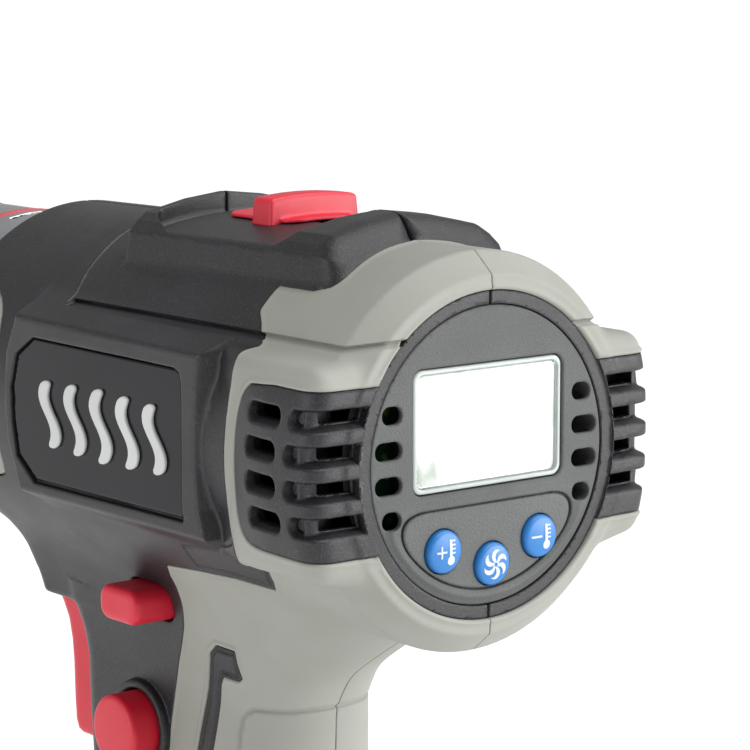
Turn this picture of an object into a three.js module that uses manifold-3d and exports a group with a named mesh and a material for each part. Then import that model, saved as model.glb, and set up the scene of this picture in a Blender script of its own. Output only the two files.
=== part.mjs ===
// A pistol-grip heat gun with a display at its rear.
// Millimetres. Modelling frame: X forward along the air path, Y to the left, Z up, with the origin on the
// barrel axis at the face of the rear panel. The finished group is moved so that the part's origin is the
// middle of the hand grip.
import * as THREE from "three";
import { mergeVertices } from "three/addons/utils/BufferGeometryUtils.js";
import Module from "manifold-3d";

const wasm = await Module();
wasm.setup();

// ---- driving dimensions -------------------------------------------------------------------------------
const GRIP = [82, 0, -125]; // middle of the hand grip

const BARREL_R = 42;
const BARREL_REAR_R = 37.4; // outer edge of the flat rear annulus
const REAR_X = 0.5;
const CREASE_X = 7; // end of the rear cone
const RIM_X = 150; // front rim of the plastic barrel
const WALL = 3.7;
const SKIN = 1.5; // soft overmould
const GAP = 0.3; // between touching pieces
const SEAM = 0.15; // half the gap at the middle plane

const PANEL_R = 31;
const RING_R = 34; // outer edge of the black ring round the panel

const BLOCK_Y = 46.4; // side vent block, half width of the head
const BLOCK_TOP = 24.5;
const VENT_PITCH = 7.15;
const VENT_HEIGHT = 3.9;
const VENT_TOP = 11.7; // centre of the highest row
const VENT_ROWS = 4;

const HUMP_TOP = 48.2;
const HUMP_HALF = 25.8;
const HUMP_REAR = 23;
const HUMP_FRONT = 93.5;
const SADDLE = [48, 91]; // recess in the hump for the slider
const SADDLE_DROP = 4.2;

const PLATEAU_Y = 43.3; // flat raised side panel
const BADGE_T = 0.8;

const SLEEVE_R = 37.1; // steel sleeve ahead of the barrel
const SLEEVE_END = 200;
const NOZZLE_R = 18;
const NOZZLE_BORE = 17;
const NOZZLE_END = 250;

const HANDLE_BASE = -190;
const GRIP_HALF = 18;
const TRIGGER = { top: -52.2, bottom: -88.6, half: 7.8 };
const LOCK = { x: 99.5, z: -75.6, r: 8.7, out: 27.8 };
const SELECTOR = { x: 92.4, z: -44.1, length: 14.8, height: 8.2, left: 31, right: -24 };

const DISPLAY = { half: 20.2, bottom: -6.5, top: 19.4 };
const GLAND = { x: 84, bore: 4.5, neck: 7.4, flange: 9.4, lip: 3, length: 14 };

const MOTOR_R = 18;
const MOTOR = [44, 86];
const SHAFT_R = 1.6;
const DUCT_R = 31.8;
const IMPELLER_R = 29;
const HEATER = [124, 226];

const LOW = 10; // sides of small round pieces
const HIGH = 24; // sides of large round pieces

// ---- looks --------------------------------------------------------------------------------------------
const look = (color, roughness, metalness = 0) => ({ color, roughness, metalness });
const BLACK = look(0x3c3b40, 0.62);
const GREY = look(0xb3b5ad, 0.7);
const PANEL = look(0x54554f, 0.6);
const RED = look(0xd92b3e, 0.45);
const BLUE = look(0x2f78d0, 0.35);
const GLOSS = look(0x201e28, 0.12);
const GLASS = look(0xdfe8e2, 0.08);
const STEEL = look(0xc9cbcd, 0.3, 1);
const DARK_STEEL = look(0x85878a, 0.45, 1);
const COPPER = look(0xb8713a, 0.4, 1);
const MICA = look(0xcabf9f, 0.7);
const BOARD = look(0x1f6b45, 0.55);
const PALE = look(0xe8e6df, 0.5);

const part = new THREE.Group();

// ---- helpers ------------------------------------------------------------------------------------------
// A three.js geometry as a closed solid for joining and cutting.
function solid(geometry) {
  const g = geometry.clone();
  g.deleteAttribute("normal");
  g.deleteAttribute("uv");
  const merged = mergeVertices(g, 1e-4);
  const vertProperties = new Float32Array(merged.attributes.position.array);
  const triVerts = new Uint32Array(merged.index.array);
  const made = new wasm.Manifold(new wasm.Mesh({ numProp: 3, vertProperties, triVerts }));
  if (made.volume() > 0) return made;
  for (let i = 0; i < triVerts.length; i += 3) {
    [triVerts[i], triVerts[i + 1]] = [triVerts[i + 1], triVerts[i]];
  }
  return new wasm.Manifold(new wasm.Mesh({ numProp: 3, vertProperties, triVerts }));
}

// A solid back as a three.js geometry.
function geometryOf(manifold) {
  const { vertProperties, triVerts } = manifold.getMesh();
  const g = new THREE.BufferGeometry();
  g.setAttribute("position", new THREE.BufferAttribute(vertProperties, 3));
  g.setIndex(new THREE.BufferAttribute(triVerts, 1));
  g.computeVertexNormals();
  return g;
}

function add(name, manifold, style) {
  const mesh = new THREE.Mesh(geometryOf(manifold), new THREE.MeshStandardMaterial(style));
  mesh.name = name;
  part.add(mesh);
}

const join = (first, ...rest) => rest.reduce((sum, s) => sum.add(s), first);
const cut = (first, ...rest) => rest.reduce((sum, s) => sum.subtract(s), first);

// The solid seen in a mirror on the middle plane.
function mirrored(manifold) {
  const g = geometryOf(manifold);
  g.scale(1, -1, 1);
  return solid(g);
}

function box(x, y, z) {
  const g = new THREE.BoxGeometry(x[1] - x[0], y[1] - y[0], z[1] - z[0]);
  g.translate((x[0] + x[1]) / 2, (y[0] + y[1]) / 2, (z[0] + z[1]) / 2);
  return solid(g);
}

const AXES = {
  x: new THREE.Matrix4().makeBasis(
    new THREE.Vector3(0, 1, 0), new THREE.Vector3(0, 0, 1), new THREE.Vector3(1, 0, 0)),
  y: new THREE.Matrix4().makeBasis(
    new THREE.Vector3(0, 0, 1), new THREE.Vector3(1, 0, 0), new THREE.Vector3(0, 1, 0)),
  z: new THREE.Matrix4(),
};

// An outline pushed along an axis. Its points are (y, z) along x, (x, z) along y and (x, y) along z.
function extrude(axis, points, from, to) {
  const flat = points.map(([a, b]) => (axis === "y" ? new THREE.Vector2(b, a) : new THREE.Vector2(a, b)));
  const g = new THREE.ExtrudeGeometry(new THREE.Shape(flat), { depth: to - from, bevelEnabled: false });
  g.translate(0, 0, from);
  g.applyMatrix4(AXES[axis]);
  return solid(g);
}

// A closed profile of (x, radius) points turned round the barrel axis.
function turned(profile, sides = HIGH) {
  const g = new THREE.LatheGeometry(profile.map(([x, r]) => new THREE.Vector2(r, x)), sides);
  g.applyMatrix4(new THREE.Matrix4().makeBasis(
    new THREE.Vector3(0, 1, 0), new THREE.Vector3(1, 0, 0), new THREE.Vector3(0, 0, -1)));
  return solid(g);
}

const disc = (r, x0, x1, sides) => turned([[x0, 0], [x0, r], [x1, r], [x1, 0]], sides);
const tube = (ro, ri, x0, x1, sides) =>
  turned([[x0, ri], [x0, ro], [x1, ro], [x1, ri], [x0, ri]], sides);

// A round rod along x, y or z through a point.
function rod(axis, at, r, from, to, sides = LOW) {
  const g = new THREE.CylinderGeometry(r, r, to - from, sides);
  if (axis === "x") g.rotateZ(-Math.PI / 2);
  if (axis === "z") g.rotateX(Math.PI / 2);
  const middle = (from + to) / 2;
  const [a, b] = at;
  const place = { x: [middle, a, b], y: [a, middle, b], z: [a, b, middle] }[axis];
  g.translate(...place);
  return solid(g);
}

// The points of a rectangle with round corners, centred on (a, b).
function roundRect(a, b, width, height, radius, steps = 1) {
  const points = [];
  for (let corner = 0; corner < 4; corner++) {
    const ca = a + (corner === 0 || corner === 3 ? 1 : -1) * (width / 2 - radius);
    const cb = b + (corner < 2 ? 1 : -1) * (height / 2 - radius);
    for (let i = 0; i <= steps; i++) {
      const t = (corner + i / steps) * (Math.PI / 2);
      points.push([ca + radius * Math.cos(t), cb + radius * Math.sin(t)]);
    }
  }
  return points.filter((p, i) => {
    const q = points[(i + 1) % points.length];
    return Math.hypot(p[0] - q[0], p[1] - q[1]) > 1e-3;
  });
}

// A closed skin through horizontal sections of the grip, each {z, rear, front, half}.
const NOSE_STEPS = 4;
function section({ z, rear, front, half }, nose = 20, chin = 11) {
  const ring = [];
  for (let i = 0; i <= NOSE_STEPS; i++) {
    const t = (i / NOSE_STEPS - 0.5) * Math.PI;
    ring.push([front - chin + chin * Math.cos(t), half * Math.sin(t), z]);
  }
  for (let i = 0; i <= NOSE_STEPS; i++) {
    const t = (i / NOSE_STEPS + 0.5) * Math.PI;
    ring.push([rear + nose + nose * Math.cos(t), half * Math.sin(t), z]);
  }
  return ring;
}

function loft(sections) {
  const rings = sections.map((s) => section(s));
  const n = rings[0].length;
  const middle = (ring) => [
    ring.reduce((sum, p) => sum + p[0], 0) / n, 0, ring[0][2]];
  const points = [...rings.flat(), middle(rings[0]), middle(rings[rings.length - 1])];
  const faces = [];
  for (let i = 0; i < n; i++) {
    const j = (i + 1) % n;
    for (let k = 0; k + 1 < rings.length; k++) {
      const [a, b, c, d] = [k * n + i, k * n + j, (k + 1) * n + i, (k + 1) * n + j];
      faces.push(a, b, c, b, d, c);
    }
    const last = (rings.length - 1) * n;
    faces.push(points.length - 2, j, i);
    faces.push(points.length - 1, last + i, last + j);
  }
  const g = new THREE.BufferGeometry();
  g.setAttribute("position", new THREE.Float32BufferAttribute(points.flat(), 3));
  g.setIndex(faces);
  return solid(g);
}

// ---- the outer form of the housing, or the same form taken in by d on every face ------------------------
function barrel(d) {
  return turned([[REAR_X + d, 0], [REAR_X + d, BARREL_REAR_R - d], [CREASE_X + d / 2, BARREL_R - d],
    [RIM_X - d, BARREL_R - d], [RIM_X - d, 0]]);
}

function ventBlock(d) {
  const top = BLOCK_TOP - d;
  const face = BLOCK_Y - d;
  const across = [[20, -top], [33 - d, -top], [43.4 - d, -20.4 + d], [face - 0.6, -12], [face, 0],
    [face - 0.6, 11.5], [43.4 - d, 19.6 - d], [33 - d, top - 0.5], [20, top - 0.5]];
  const plan = [[REAR_X + d, 20], [REAR_X + d, 36 - d], [1.8 + d, 42 - d], [4.6 + d, 45 - d],
    [9 + d, face + 0.01], [20 - d, face + 0.01], [26 - d, 44.6 - d], [36 - d, 40.5 - d], [36 - d, 20]];
  return extrude("x", across, 0, 40).intersect(extrude("z", plan, -30, 30));
}

function hump(d) {
  const side = HUMP_HALF - d;
  const half = [[side, 24], [side, 34 - d], [side - 3.6, 42 - d], [side - 6.4, 44.6 - d],
    [14, 46.2 - d], [7, 47.6 - d]];
  const across = [...half, [0, HUMP_TOP - d], ...half.map(([y, z]) => [-y, z]).reverse()];
  const along = [[HUMP_REAR + d, 24], [HUMP_REAR + d, 42 - d], [28 + d, HUMP_TOP],
    [HUMP_FRONT - 1 - d, HUMP_TOP], [HUMP_FRONT - d, 42 - d], [HUMP_FRONT - d, 24]];
  return extrude("x", across, 20, 100).intersect(extrude("y", along, -30, 30));
}

function plateau(d) {
  const foot = extrude("y", roundRect(76, 0.9, 84 - 2 * d, 44 - 2 * d, 5), 20, 41.4 - d);
  const top = extrude("y", roundRect(77.5, 0.9, 74 - 2 * d, 38.6 - 2 * d, 6), 20, PLATEAU_Y - d);
  return foot.add(top);
}

const NECK = [
  { z: -26, rear: 14, front: RIM_X - 2, half: 29 },
  { z: -34, rear: 20, front: RIM_X - 0.5, half: 25 },
  { z: -44, rear: 26.6, front: RIM_X - 1.3, half: 20.5 },
  { z: -51.4, rear: 37, front: RIM_X - 3, half: 19.2 },
];
const GRIP_SECTIONS = [
  { z: -52.2, rear: 39, front: 134, half: 19.1 },
  { z: -56, rear: 45.5, front: 131.5, half: 18.9 },
  { z: -64, rear: 51, front: 130.5, half: 18.6 },
  { z: -92, rear: 51.2, front: 129.5, half: 18.6 },
  { z: -106, rear: 50, front: 118, half: GRIP_HALF - 0.2 },
  { z: -130, rear: 49, front: 110.5, half: GRIP_HALF - 0.6 },
  { z: -172, rear: 52.5, front: 113, half: GRIP_HALF + 0.6 },
  { z: -182, rear: 51, front: 118, half: GRIP_HALF + 1.8 },
  { z: HANDLE_BASE, rear: 52, front: 117.5, half: GRIP_HALF + 1.4 },
];

function handle(d) {
  const inner = ({ z, rear, front, half }) => ({ z, rear: rear + d, front: front - d, half: half - d });
  const sections = [...NECK, ...GRIP_SECTIONS].map(inner);
  sections[NECK.length - 1].z += d * 0.6;
  sections[sections.length - 1].z += d;
  return loft(sections);
}

function envelope(d) {
  const side = ventBlock(d).add(plateau(d));
  return join(barrel(d), handle(d), hump(d), side, mirrored(side));
}

// ---- where the soft overmould lies (left side; grown by d) ----------------------------------------------
function overmouldZone(d) {
  const lap = 60; // past the outer form
  const collar = box([-5, 36.9 + d], [-1, lap], [22 - d, lap]);
  const beside = [[-5, -20 + d], [-5, 24 + d], [29.6 + d, 24 + d], [29.6 + d, 19.9], [32.8 + d, 11.3],
    [34.4 + d, 1], [34.3 + d, -8], [31.8 + d, -14.8], [29.9 + d, -19.6], [30.1 + d, -24.6], [20, -26]];
  const strip = extrude("y", beside, 24, lap);
  const grille = extrude("y", roundRect(4, 0.3, 49 - 2 * d, 34 - 2 * d, 8), 20, lap + 1);
  const below = [[-5, -19 + d], [30.1 + d, -19 + d], [30.1 + d, -24.6], [33.4 + d, -30 + d],
    [76 + d, -32.4 + d], [79.9 + d, -40], [80.6 + d, -45], [84.6 + d, -57], [89.8 + d, -79],
    [88 + d, -112], [83 + d, -150], [84 + d, -172], [87 + d, HANDLE_BASE - 5], [-5, HANDLE_BASE - 5]];
  const neck = extrude("y", below, -1, lap);
  const zone = cut(join(collar, strip, neck), grille, disc(RING_R + 0.2 - d, -5, 8));
  return cut(zone, gripStrip(d));
}

// The hooked black strip that shows through the overmould on each side of the grip.
function gripStrip(d) {
  const hook = [[71.9 - d, -53], [69.5 - d, -50.9 - d], [62.6 + d, -51 - d], [61.8 + d, -57.3 + d],
    [67.6 + d, -57.2 + d], [69.5 + d, -64], [72.3 + d, -75], [74 + d, -100], [71.5 + d, -125],
    [69.5 + d, -158 + d], [74.5 - d, -158 + d], [77 - d, -125], [79.5 - d, -100], [77.9 - d, -76],
    [73.2 - d, -61]];
  return extrude("y", hook, 4, 61);
}

// ---- fasteners ----------------------------------------------------------------------------------------
const HOUSING_SCREWS = [[112, 35], [34, 37], [26, -36], [119, -44.5], [61, -71], [62, -103], [106, -172]];
const BOSS_R = 3.8;
const SCREW = { head: 2.9, shank: 1.5, headAt: -13, headEnd: -15, tip: 9 };

function boss([x, z]) {
  return rod("y", [x, z], BOSS_R, 0, 40);
}

function screwHole([x, z]) {
  const shank = rod("y", [x, z], SCREW.shank + GAP, -40, SCREW.tip + 1);
  return shank.add(rod("y", [x, z], SCREW.head + GAP, -60, SCREW.headAt + GAP));
}

// A slotted screw along an axis: its head lies between headAt and headEnd, and its shank runs to tip.
function screw(axis, [a, b], { head, headAt, headEnd, shank, tip }) {
  const way = Math.sign(headEnd - headAt);
  const span = (p, q) => [Math.min(p, q), Math.max(p, q)];
  const cap = rod(axis, [a, b], head, ...span(headAt, headEnd));
  const across = span(headEnd - way * 0.8, headEnd + way);
  const slot = axis === "y"
    ? box([a - 0.4, a + 0.4], across, [b - 2 * head, b + 2 * head])
    : box(across, [a - 0.4, a + 0.4], [b - 2 * head, b + 2 * head]);
  return cut(cap, slot).add(rod(axis, [a, b], shank, ...span(headAt + way * 0.1, tip), 10));
}

// ---- housing ------------------------------------------------------------------------------------------
const KEYS = [
  { name: "key_temp_up", y: 12.7, z: -18.5 },
  { name: "key_fan", y: -0.3, z: -22.7 },
  { name: "key_temp_down", y: -13.2, z: -18.5 },
];
const KEY_R = 4.7;

// Whether a row of vents is the first or the last.
const atEdge = (row) => row === 0 || row === VENT_ROWS - 1;

function ventSlots() {
  const slots = [];
  for (let row = 0; row < VENT_ROWS; row++) {
    const z = VENT_TOP - row * VENT_PITCH;
    const inner = atEdge(row) ? 33.2 : 34.4;
    const x = atEdge(row) ? 14.9 : 16.4;
    slots.push(extrude("y", roundRect(x, z, 9.4, VENT_HEIGHT, 1.6), 34, 60));
    const corner = [[-5, inner], [2.2, inner], [7.4, inner + 3], [8.6, inner + 6], [8.6, 60], [-5, 60]];
    slots.push(extrude("z", corner, z - VENT_HEIGHT / 2, z + VENT_HEIGHT / 2));
  }
  return slots;
}

const lockHole = () => rod("y", [LOCK.x, LOCK.z], LOCK.r + GAP, 4, 60, 20);
const selectorHole = () => extrude("y",
  roundRect(SELECTOR.x, SELECTOR.z, SELECTOR.length + 2 * GAP, SELECTOR.height + 2 * GAP, 3.2), -60, 60);
const triggerHole = () => box([116, 160], [-TRIGGER.half - GAP, TRIGGER.half + GAP],
  [TRIGGER.bottom - GAP, TRIGGER.top + 0.6]);
const sliderHole = () => box([51, 79], [-3.4, 3.4], [36, 60]);
const badgeRecess = () => extrude("y",
  [[47, -16.2], [105, -16.2], [111, -11], [113.6, 0], [111, 12], [105, 16.8], [47, 16.8]],
  PLATEAU_Y - 1.6, 60);
const frontPadRecess = (d) => extrude("y",
  [[128 - d, 23.6 + d], [133 - d, 12], [134 - d, 3], [133 - d, -6], [127 - d, -17.6 - d],
    [144 + d, -17.6 - d], [144 + d, 23.6 + d]], 30, 60);

// The hole for the cord gland, with a counterbore that lets its flange lie flush with the handle's base.
function glandHole() {
  const at = [GLAND.x, 0];
  const below = HANDLE_BASE - 5;
  const bore = rod("z", at, GLAND.neck + GAP, below, HANDLE_BASE + 12, 16);
  return bore.add(rod("z", at, GLAND.flange + GAP, below, HANDLE_BASE + GLAND.lip + GAP, 16));
}

function saddle() {
  const sill = (y) => HUMP_TOP - SADDLE_DROP - (y * y) / 190;
  const floor = [-26, -19, -13, -7, 0, 7, 13, 19, 26].map((y) => [y, sill(y)]);
  const across = [...floor, [30, 60], [-30, 60]];
  const along = [[SADDLE[0] - 9, 60], [SADDLE[0] - 9, 47], [SADDLE[0] - 2, 42], [SADDLE[0], 36],
    [SADDLE[1], 36], [SADDLE[1], 60]];
  return extrude("x", across, 30, SADDLE[1]).intersect(extrude("y", along, -30, 30));
}

// Everything that both half shells share, before they are split and pierced.
function housingForm() {
  const cavity = cut(envelope(WALL), box([RIM_X - 8, 200], [-60, 60], [-60, -38]));
  const bosses = join(...HOUSING_SCREWS.map(boss));
  const sockets = bosses.add(mirrored(bosses)).intersect(envelope(WALL - 1));
  const zone = overmouldZone(GAP);
  const skin = cut(envelope(-1), envelope(SKIN + GAP)).intersect(zone.add(mirrored(zone)));
  const rearMouth = disc(PANEL_R + GAP, -5, 12);
  const frontMouth = disc(SLEEVE_R + 0.4, 138, 160);
  const pads = frontPadRecess(GAP).intersect(cut(envelope(-1), barrel(SKIN + GAP)));
  const badge = badgeRecess();
  const outer = cut(envelope(0), skin, saddle(), pads, mirrored(pads), badge, mirrored(badge));
  const ring = tube(RING_R, PANEL_R + GAP, -0.5, 6);
  const hollow = cut(cavity, sockets, saddleBacking());
  return cut(outer.add(ring), hollow, rearMouth, frontMouth, triggerHole(), selectorHole(), sliderHole());
}

// The wall under the saddle, kept when the hump is hollowed.
function saddleBacking() {
  const thick = 3;
  const top = HUMP_TOP - SADDLE_DROP;
  const across = [[-22, 36], [-22, 39.4], [-13, top - 0.9], [0, top], [13, top - 0.9], [22, 39.4], [22, 36],
    [13, top - thick - 0.9], [0, top - thick], [-13, top - thick - 0.9]];
  return extrude("x", across, SADDLE[0] - 12, SADDLE[1] + 3);
}

const leftHalf = () => box([-400, 400], [SEAM, 400], [-400, 400]);

function housings() {
  const form = housingForm();
  const vents = join(...ventSlots());
  const shared = [...HOUSING_SCREWS.map(screwHole), glandHole()];
  add("housing_left", cut(form.intersect(leftHalf()), lockHole(), vents, ...shared), BLACK);
  add("housing_right", cut(form.intersect(mirrored(leftHalf())), mirrored(vents), ...shared), BLACK);
}

function overmoulds() {
  const zone = overmouldZone(0);
  const skin = cut(envelope(0), envelope(SKIN), saddle(), glandHole(), hump(-GAP));
  const headHoles = HOUSING_SCREWS.map((at) => rod("y", at, SCREW.head + 2 * GAP, -60, -1));
  const left = skin.intersect(zone).intersect(leftHalf());
  const right = cut(skin.intersect(mirrored(zone)).intersect(mirrored(leftHalf())), ...headHoles);
  add("overmould_left", largest(left), GREY);
  add("overmould_right", largest(right), GREY);
}

// The biggest body of a solid, without the slivers cut off beside it.
const largest = (manifold) =>
  manifold.decompose().sort((a, b) => b.volume() - a.volume())[0];

function frontPads() {
  const pad = frontPadRecess(0).intersect(cut(barrel(0), barrel(SKIN)));
  add("front_pad_left", pad, GREY);
  add("front_pad_right", mirrored(pad), GREY);
}

function badges() {
  const plate = extrude("y", [[47.4, -15.8], [104.8, -15.8], [110.6, -10.8], [113.2, 0], [110.6, 11.8],
    [104.8, 16.4], [47.4, 16.4]], PLATEAU_Y - 1.3, PLATEAU_Y - 1.3 + BADGE_T);
  add("badge_left", plate, GLOSS);
  add("badge_right", mirrored(plate), GLOSS);
}

// ---- rear panel ---------------------------------------------------------------------------------------
function rearPanel() {
  const vents = [];
  for (let row = 0; row < VENT_ROWS; row++) {
    const z = VENT_TOP - 0.9 - row * VENT_PITCH;
    const [y, width] = atEdge(row) ? [25.6, 5] : [26.4, 6.8];
    vents.push(extrude("x", roundRect(y, z, width, VENT_HEIGHT - 0.2, 1.7), -2, 12));
  }
  const mid = (DISPLAY.top + DISPLAY.bottom) / 2;
  const height = DISPLAY.top - DISPLAY.bottom;
  const window = extrude("x", roundRect(0, mid, 2 * DISPLAY.half, height, 2.4), -2, 12);
  const keyHoles = KEYS.map(({ y, z }) => rod("x", [y, z], KEY_R + GAP, -2, 12, 16));
  const body = disc(PANEL_R, 0, 2.6).add(tube(PANEL_R, PANEL_R - 1.6, 2.4, 6.4));
  const right = vents.map(mirrored);
  const keypad = extrude("x", keypadOutline(0.3), -2, 0.7);
  const posts = BOARD_SCREWS.map(([, y, z]) => rod("x", [y, z], 2.2, 2.4, 7.1));
  const sockets = BOARD_SCREWS.map(([, y, z]) => rod("x", [y, z], 1.2, 2.7, 8, 12));
  const holes = [window, ...keyHoles, ...vents, ...right, keypad, ...sockets];
  add("rear_panel", cut(join(body, ...posts), ...holes), PANEL);
}

// The keypad sheet: a straight top edge under the display and a bottom arc round the panel's centre.
function keypadOutline(grow) {
  const arc = 28 + grow;
  const top = -9.6 + grow;
  const points = [];
  for (let i = 0; i <= 14; i++) {
    const t = (-160 + (i / 14) * 140) * (Math.PI / 180);
    points.push([arc * Math.cos(t), arc * Math.sin(t)]);
  }
  points.push([24.6 + grow, top]);
  points.push([-24.6 - grow, top]);
  return points;
}

function keypad() {
  const sheet = extrude("x", keypadOutline(0), -0.1, 0.4);
  const holes = KEYS.map(({ y, z }) => rod("x", [y, z], KEY_R + GAP, -2, 12, 16));
  add("keypad_sheet", cut(sheet, ...holes), PANEL);
  for (const { name, y, z } of KEYS) {
    const shape = [[4.4, 0], [4.4, 3.2], [3, 3.2], [3, KEY_R], [-0.4, KEY_R], [-1, KEY_R - 0.9], [-1.3, 0]];
    const key = turned(shape, 16);
    const g = geometryOf(key);
    g.translate(0, y, z);
    add(name, solid(g), BLUE);
  }
}

function display() {
  const mid = (DISPLAY.top + DISPLAY.bottom) / 2;
  const height = DISPLAY.top - DISPLAY.bottom;
  const pane = roundRect(0, mid, 2 * (DISPLAY.half - GAP), height - 2 * GAP, 2.2);
  add("display_lens", extrude("x", pane, 0.2, 2.4), GLASS);
  const module = box([3.2, 7], [-20.8, 20.8], [DISPLAY.bottom - 1.4, DISPLAY.top + 0.8]);
  add("display_module", module, PALE);
}

const BOARD_SCREWS = [["board_screw_top", 0, 25.4], ["board_screw_left", 20.8, -16.4],
  ["board_screw_right", -20.8, -16.4]];

function controlBoard() {
  const sheet = disc(28.6, 7.4, 9);
  const switches = KEYS.map(({ y, z }) => box([5.8, 7.5], [y - 2.4, y + 2.4], [z - 2.4, z + 2.4]));
  const chip = box([8.9, 11], [-6, 6], [-2, 10]);
  const relay = box([8.9, 16], [-9, 9], [-20, -8]);
  const notch = [1, -1].map((s) => box([7, 10], s > 0 ? [25, 32] : [-32, -25], [-16, 16]));
  const holes = BOARD_SCREWS.map(([, y, z]) => rod("x", [y, z], 1.2, 7, 12, 12));
  add("control_board", cut(join(sheet, ...switches, chip, relay), ...notch, ...holes), BOARD);
  for (const [name, y, z] of BOARD_SCREWS) {
    const fixing = screw("x", [y, z], { head: 1.9, headAt: 9.3, headEnd: 10.6, shank: 0.9, tip: 3 });
    add(name, fixing, DARK_STEEL);
  }
}

// ---- air path -----------------------------------------------------------------------------------------
function fanAndMotor() {
  add("fan_duct", tube(DUCT_R, DUCT_R - 1.2, 20, 42).add(tube(DUCT_R, 21, 40.6, 42)), BLACK);
  const hub = disc(7, 22, 37, 16);
  const back = disc(IMPELLER_R, 37, 38.4, 24);
  const blades = [];
  const BLADES = 9;
  for (let i = 0; i < BLADES; i++) {
    const blade = new THREE.BoxGeometry(13, IMPELLER_R - 6.5, 1.2);
    blade.translate(30.6, (IMPELLER_R - 6.5) / 2 + 6.2, 0);
    blade.rotateX((i / BLADES) * 2 * Math.PI);
    blades.push(solid(blade));
  }
  const bore = disc(SHAFT_R + 0.05, 20, 41, LOW);
  add("fan_impeller", cut(join(hub, back, ...blades), bore), BLACK);
  const armature = disc(MOTOR_R - 2.4, MOTOR[0] + 5, MOTOR[1] - 5, 24);
  add("rotor_shaft", disc(SHAFT_R, 24, MOTOR[1] + 2, LOW).add(armature), DARK_STEEL);
  const can = turned([[MOTOR[0], SHAFT_R + 0.4], [MOTOR[0], MOTOR_R], [MOTOR[1], MOTOR_R],
    [MOTOR[1], MOTOR_R - 1.2], [MOTOR[0] + 1.2, MOTOR_R - 1.2], [MOTOR[0] + 1.2, SHAFT_R + 0.4],
    [MOTOR[0], SHAFT_R + 0.4]], 20);
  add("motor_can", can, STEEL);
  add("motor_end_cap", tube(MOTOR_R, SHAFT_R + 0.4, MOTOR[1] + GAP, MOTOR[1] + 3, 20), BLACK);
  const windows = [];
  for (let i = 0; i < 3; i++) {
    const arc = [];
    for (let j = 0; j <= 6; j++) {
      const t = ((i + 0.09 + (0.82 * j) / 6) / 3) * 2 * Math.PI;
      arc.push([34.8 * Math.cos(t), 34.8 * Math.sin(t)]);
    }
    for (let j = 6; j >= 0; j--) {
      const t = ((i + 0.14 + (0.72 * j) / 6) / 3) * 2 * Math.PI;
      arc.push([22.4 * Math.cos(t), 22.4 * Math.sin(t)]);
    }
    windows.push(extrude("x", arc, 70, 90));
  }
  add("motor_bracket", cut(tube(37.9, MOTOR_R + GAP, 78, 81), ...windows), BLACK);
}

function heater() {
  add("nozzle_flange", tube(37.4, NOZZLE_R + GAP, 118, 120), DARK_STEEL);
  const root = 120 + GAP;
  const lip = root + 1.3;
  const nozzle = [[root, NOZZLE_BORE], [root, NOZZLE_R + 3], [lip, NOZZLE_R + 3], [lip, NOZZLE_R],
    [NOZZLE_END, NOZZLE_R], [NOZZLE_END, NOZZLE_BORE], [root, NOZZLE_BORE]];
  add("nozzle_tube", turned(nozzle), STEEL);
  const cone = SLEEVE_END + 14;
  const back = 141;
  const sleeve = turned([[back, SLEEVE_R - 1], [back, SLEEVE_R], [SLEEVE_END, SLEEVE_R],
    [cone, NOZZLE_R + 3], [cone + 6, NOZZLE_R + 1.4], [cone + 6, NOZZLE_R + 0.4], [cone, NOZZLE_R + 2],
    [SLEEVE_END - 0.6, SLEEVE_R - 1], [back, SLEEVE_R - 1]]);
  const slots = [];
  const SLOTS = 8;
  for (let i = 0; i < SLOTS; i++) {
    const slot = new THREE.BoxGeometry(2.4, 20, 40);
    slot.translate(169, 0, 40);
    slot.rotateX((i / SLOTS) * 2 * Math.PI);
    slots.push(solid(slot));
  }
  const groove = tube(SLEEVE_R + 1, SLEEVE_R - 0.3, 173.6, 176.2);
  add("heat_sleeve", cut(sleeve, ...slots, groove), STEEL);
  add("sleeve_ring", tube(SLEEVE_R + 0.3, SLEEVE_R, 173.9, 175.9), RED);
  add("mica_tube", tube(16.4, 15.6, HEATER[0] - 1, HEATER[1] + 6, 16), MICA);
  const plateA = box(HEATER, [-12, 12], [-0.6, 0.6]);
  const plateB = box(HEATER, [-0.6, 0.6], [-12, 12]);
  add("heater_former", plateA.add(plateB), MICA);
  const wire = { from: HEATER[0] + 3, to: HEATER[1] - 3, radius: 13.6, turns: 7, r: 0.8, z: 0 };
  add("heater_coil", coil(wire), COPPER);
  add("thermocouple", rod("x", [0, 6], 0.9, HEATER[1] + 2, HEATER[1] + 12, 10), DARK_STEEL);
}

// A coil of square wire of half diagonal r, wound along x at height z.
function coil({ from, to, radius, turns, r, z }) {
  class Helix extends THREE.Curve {
    getPoint(t) {
      const a = t * turns * 2 * Math.PI;
      return new THREE.Vector3(from + t * (to - from), radius * Math.cos(a), z + radius * Math.sin(a));
    }
  }
  const corners = [[r, 0], [0, r], [-r, 0], [0, -r]];
  const wire = new THREE.Shape(corners.map(([a, b]) => new THREE.Vector2(a, b)));
  const options = { steps: 8 * turns, extrudePath: new Helix(), bevelEnabled: false };
  return solid(new THREE.ExtrudeGeometry(wire, options));
}

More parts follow.
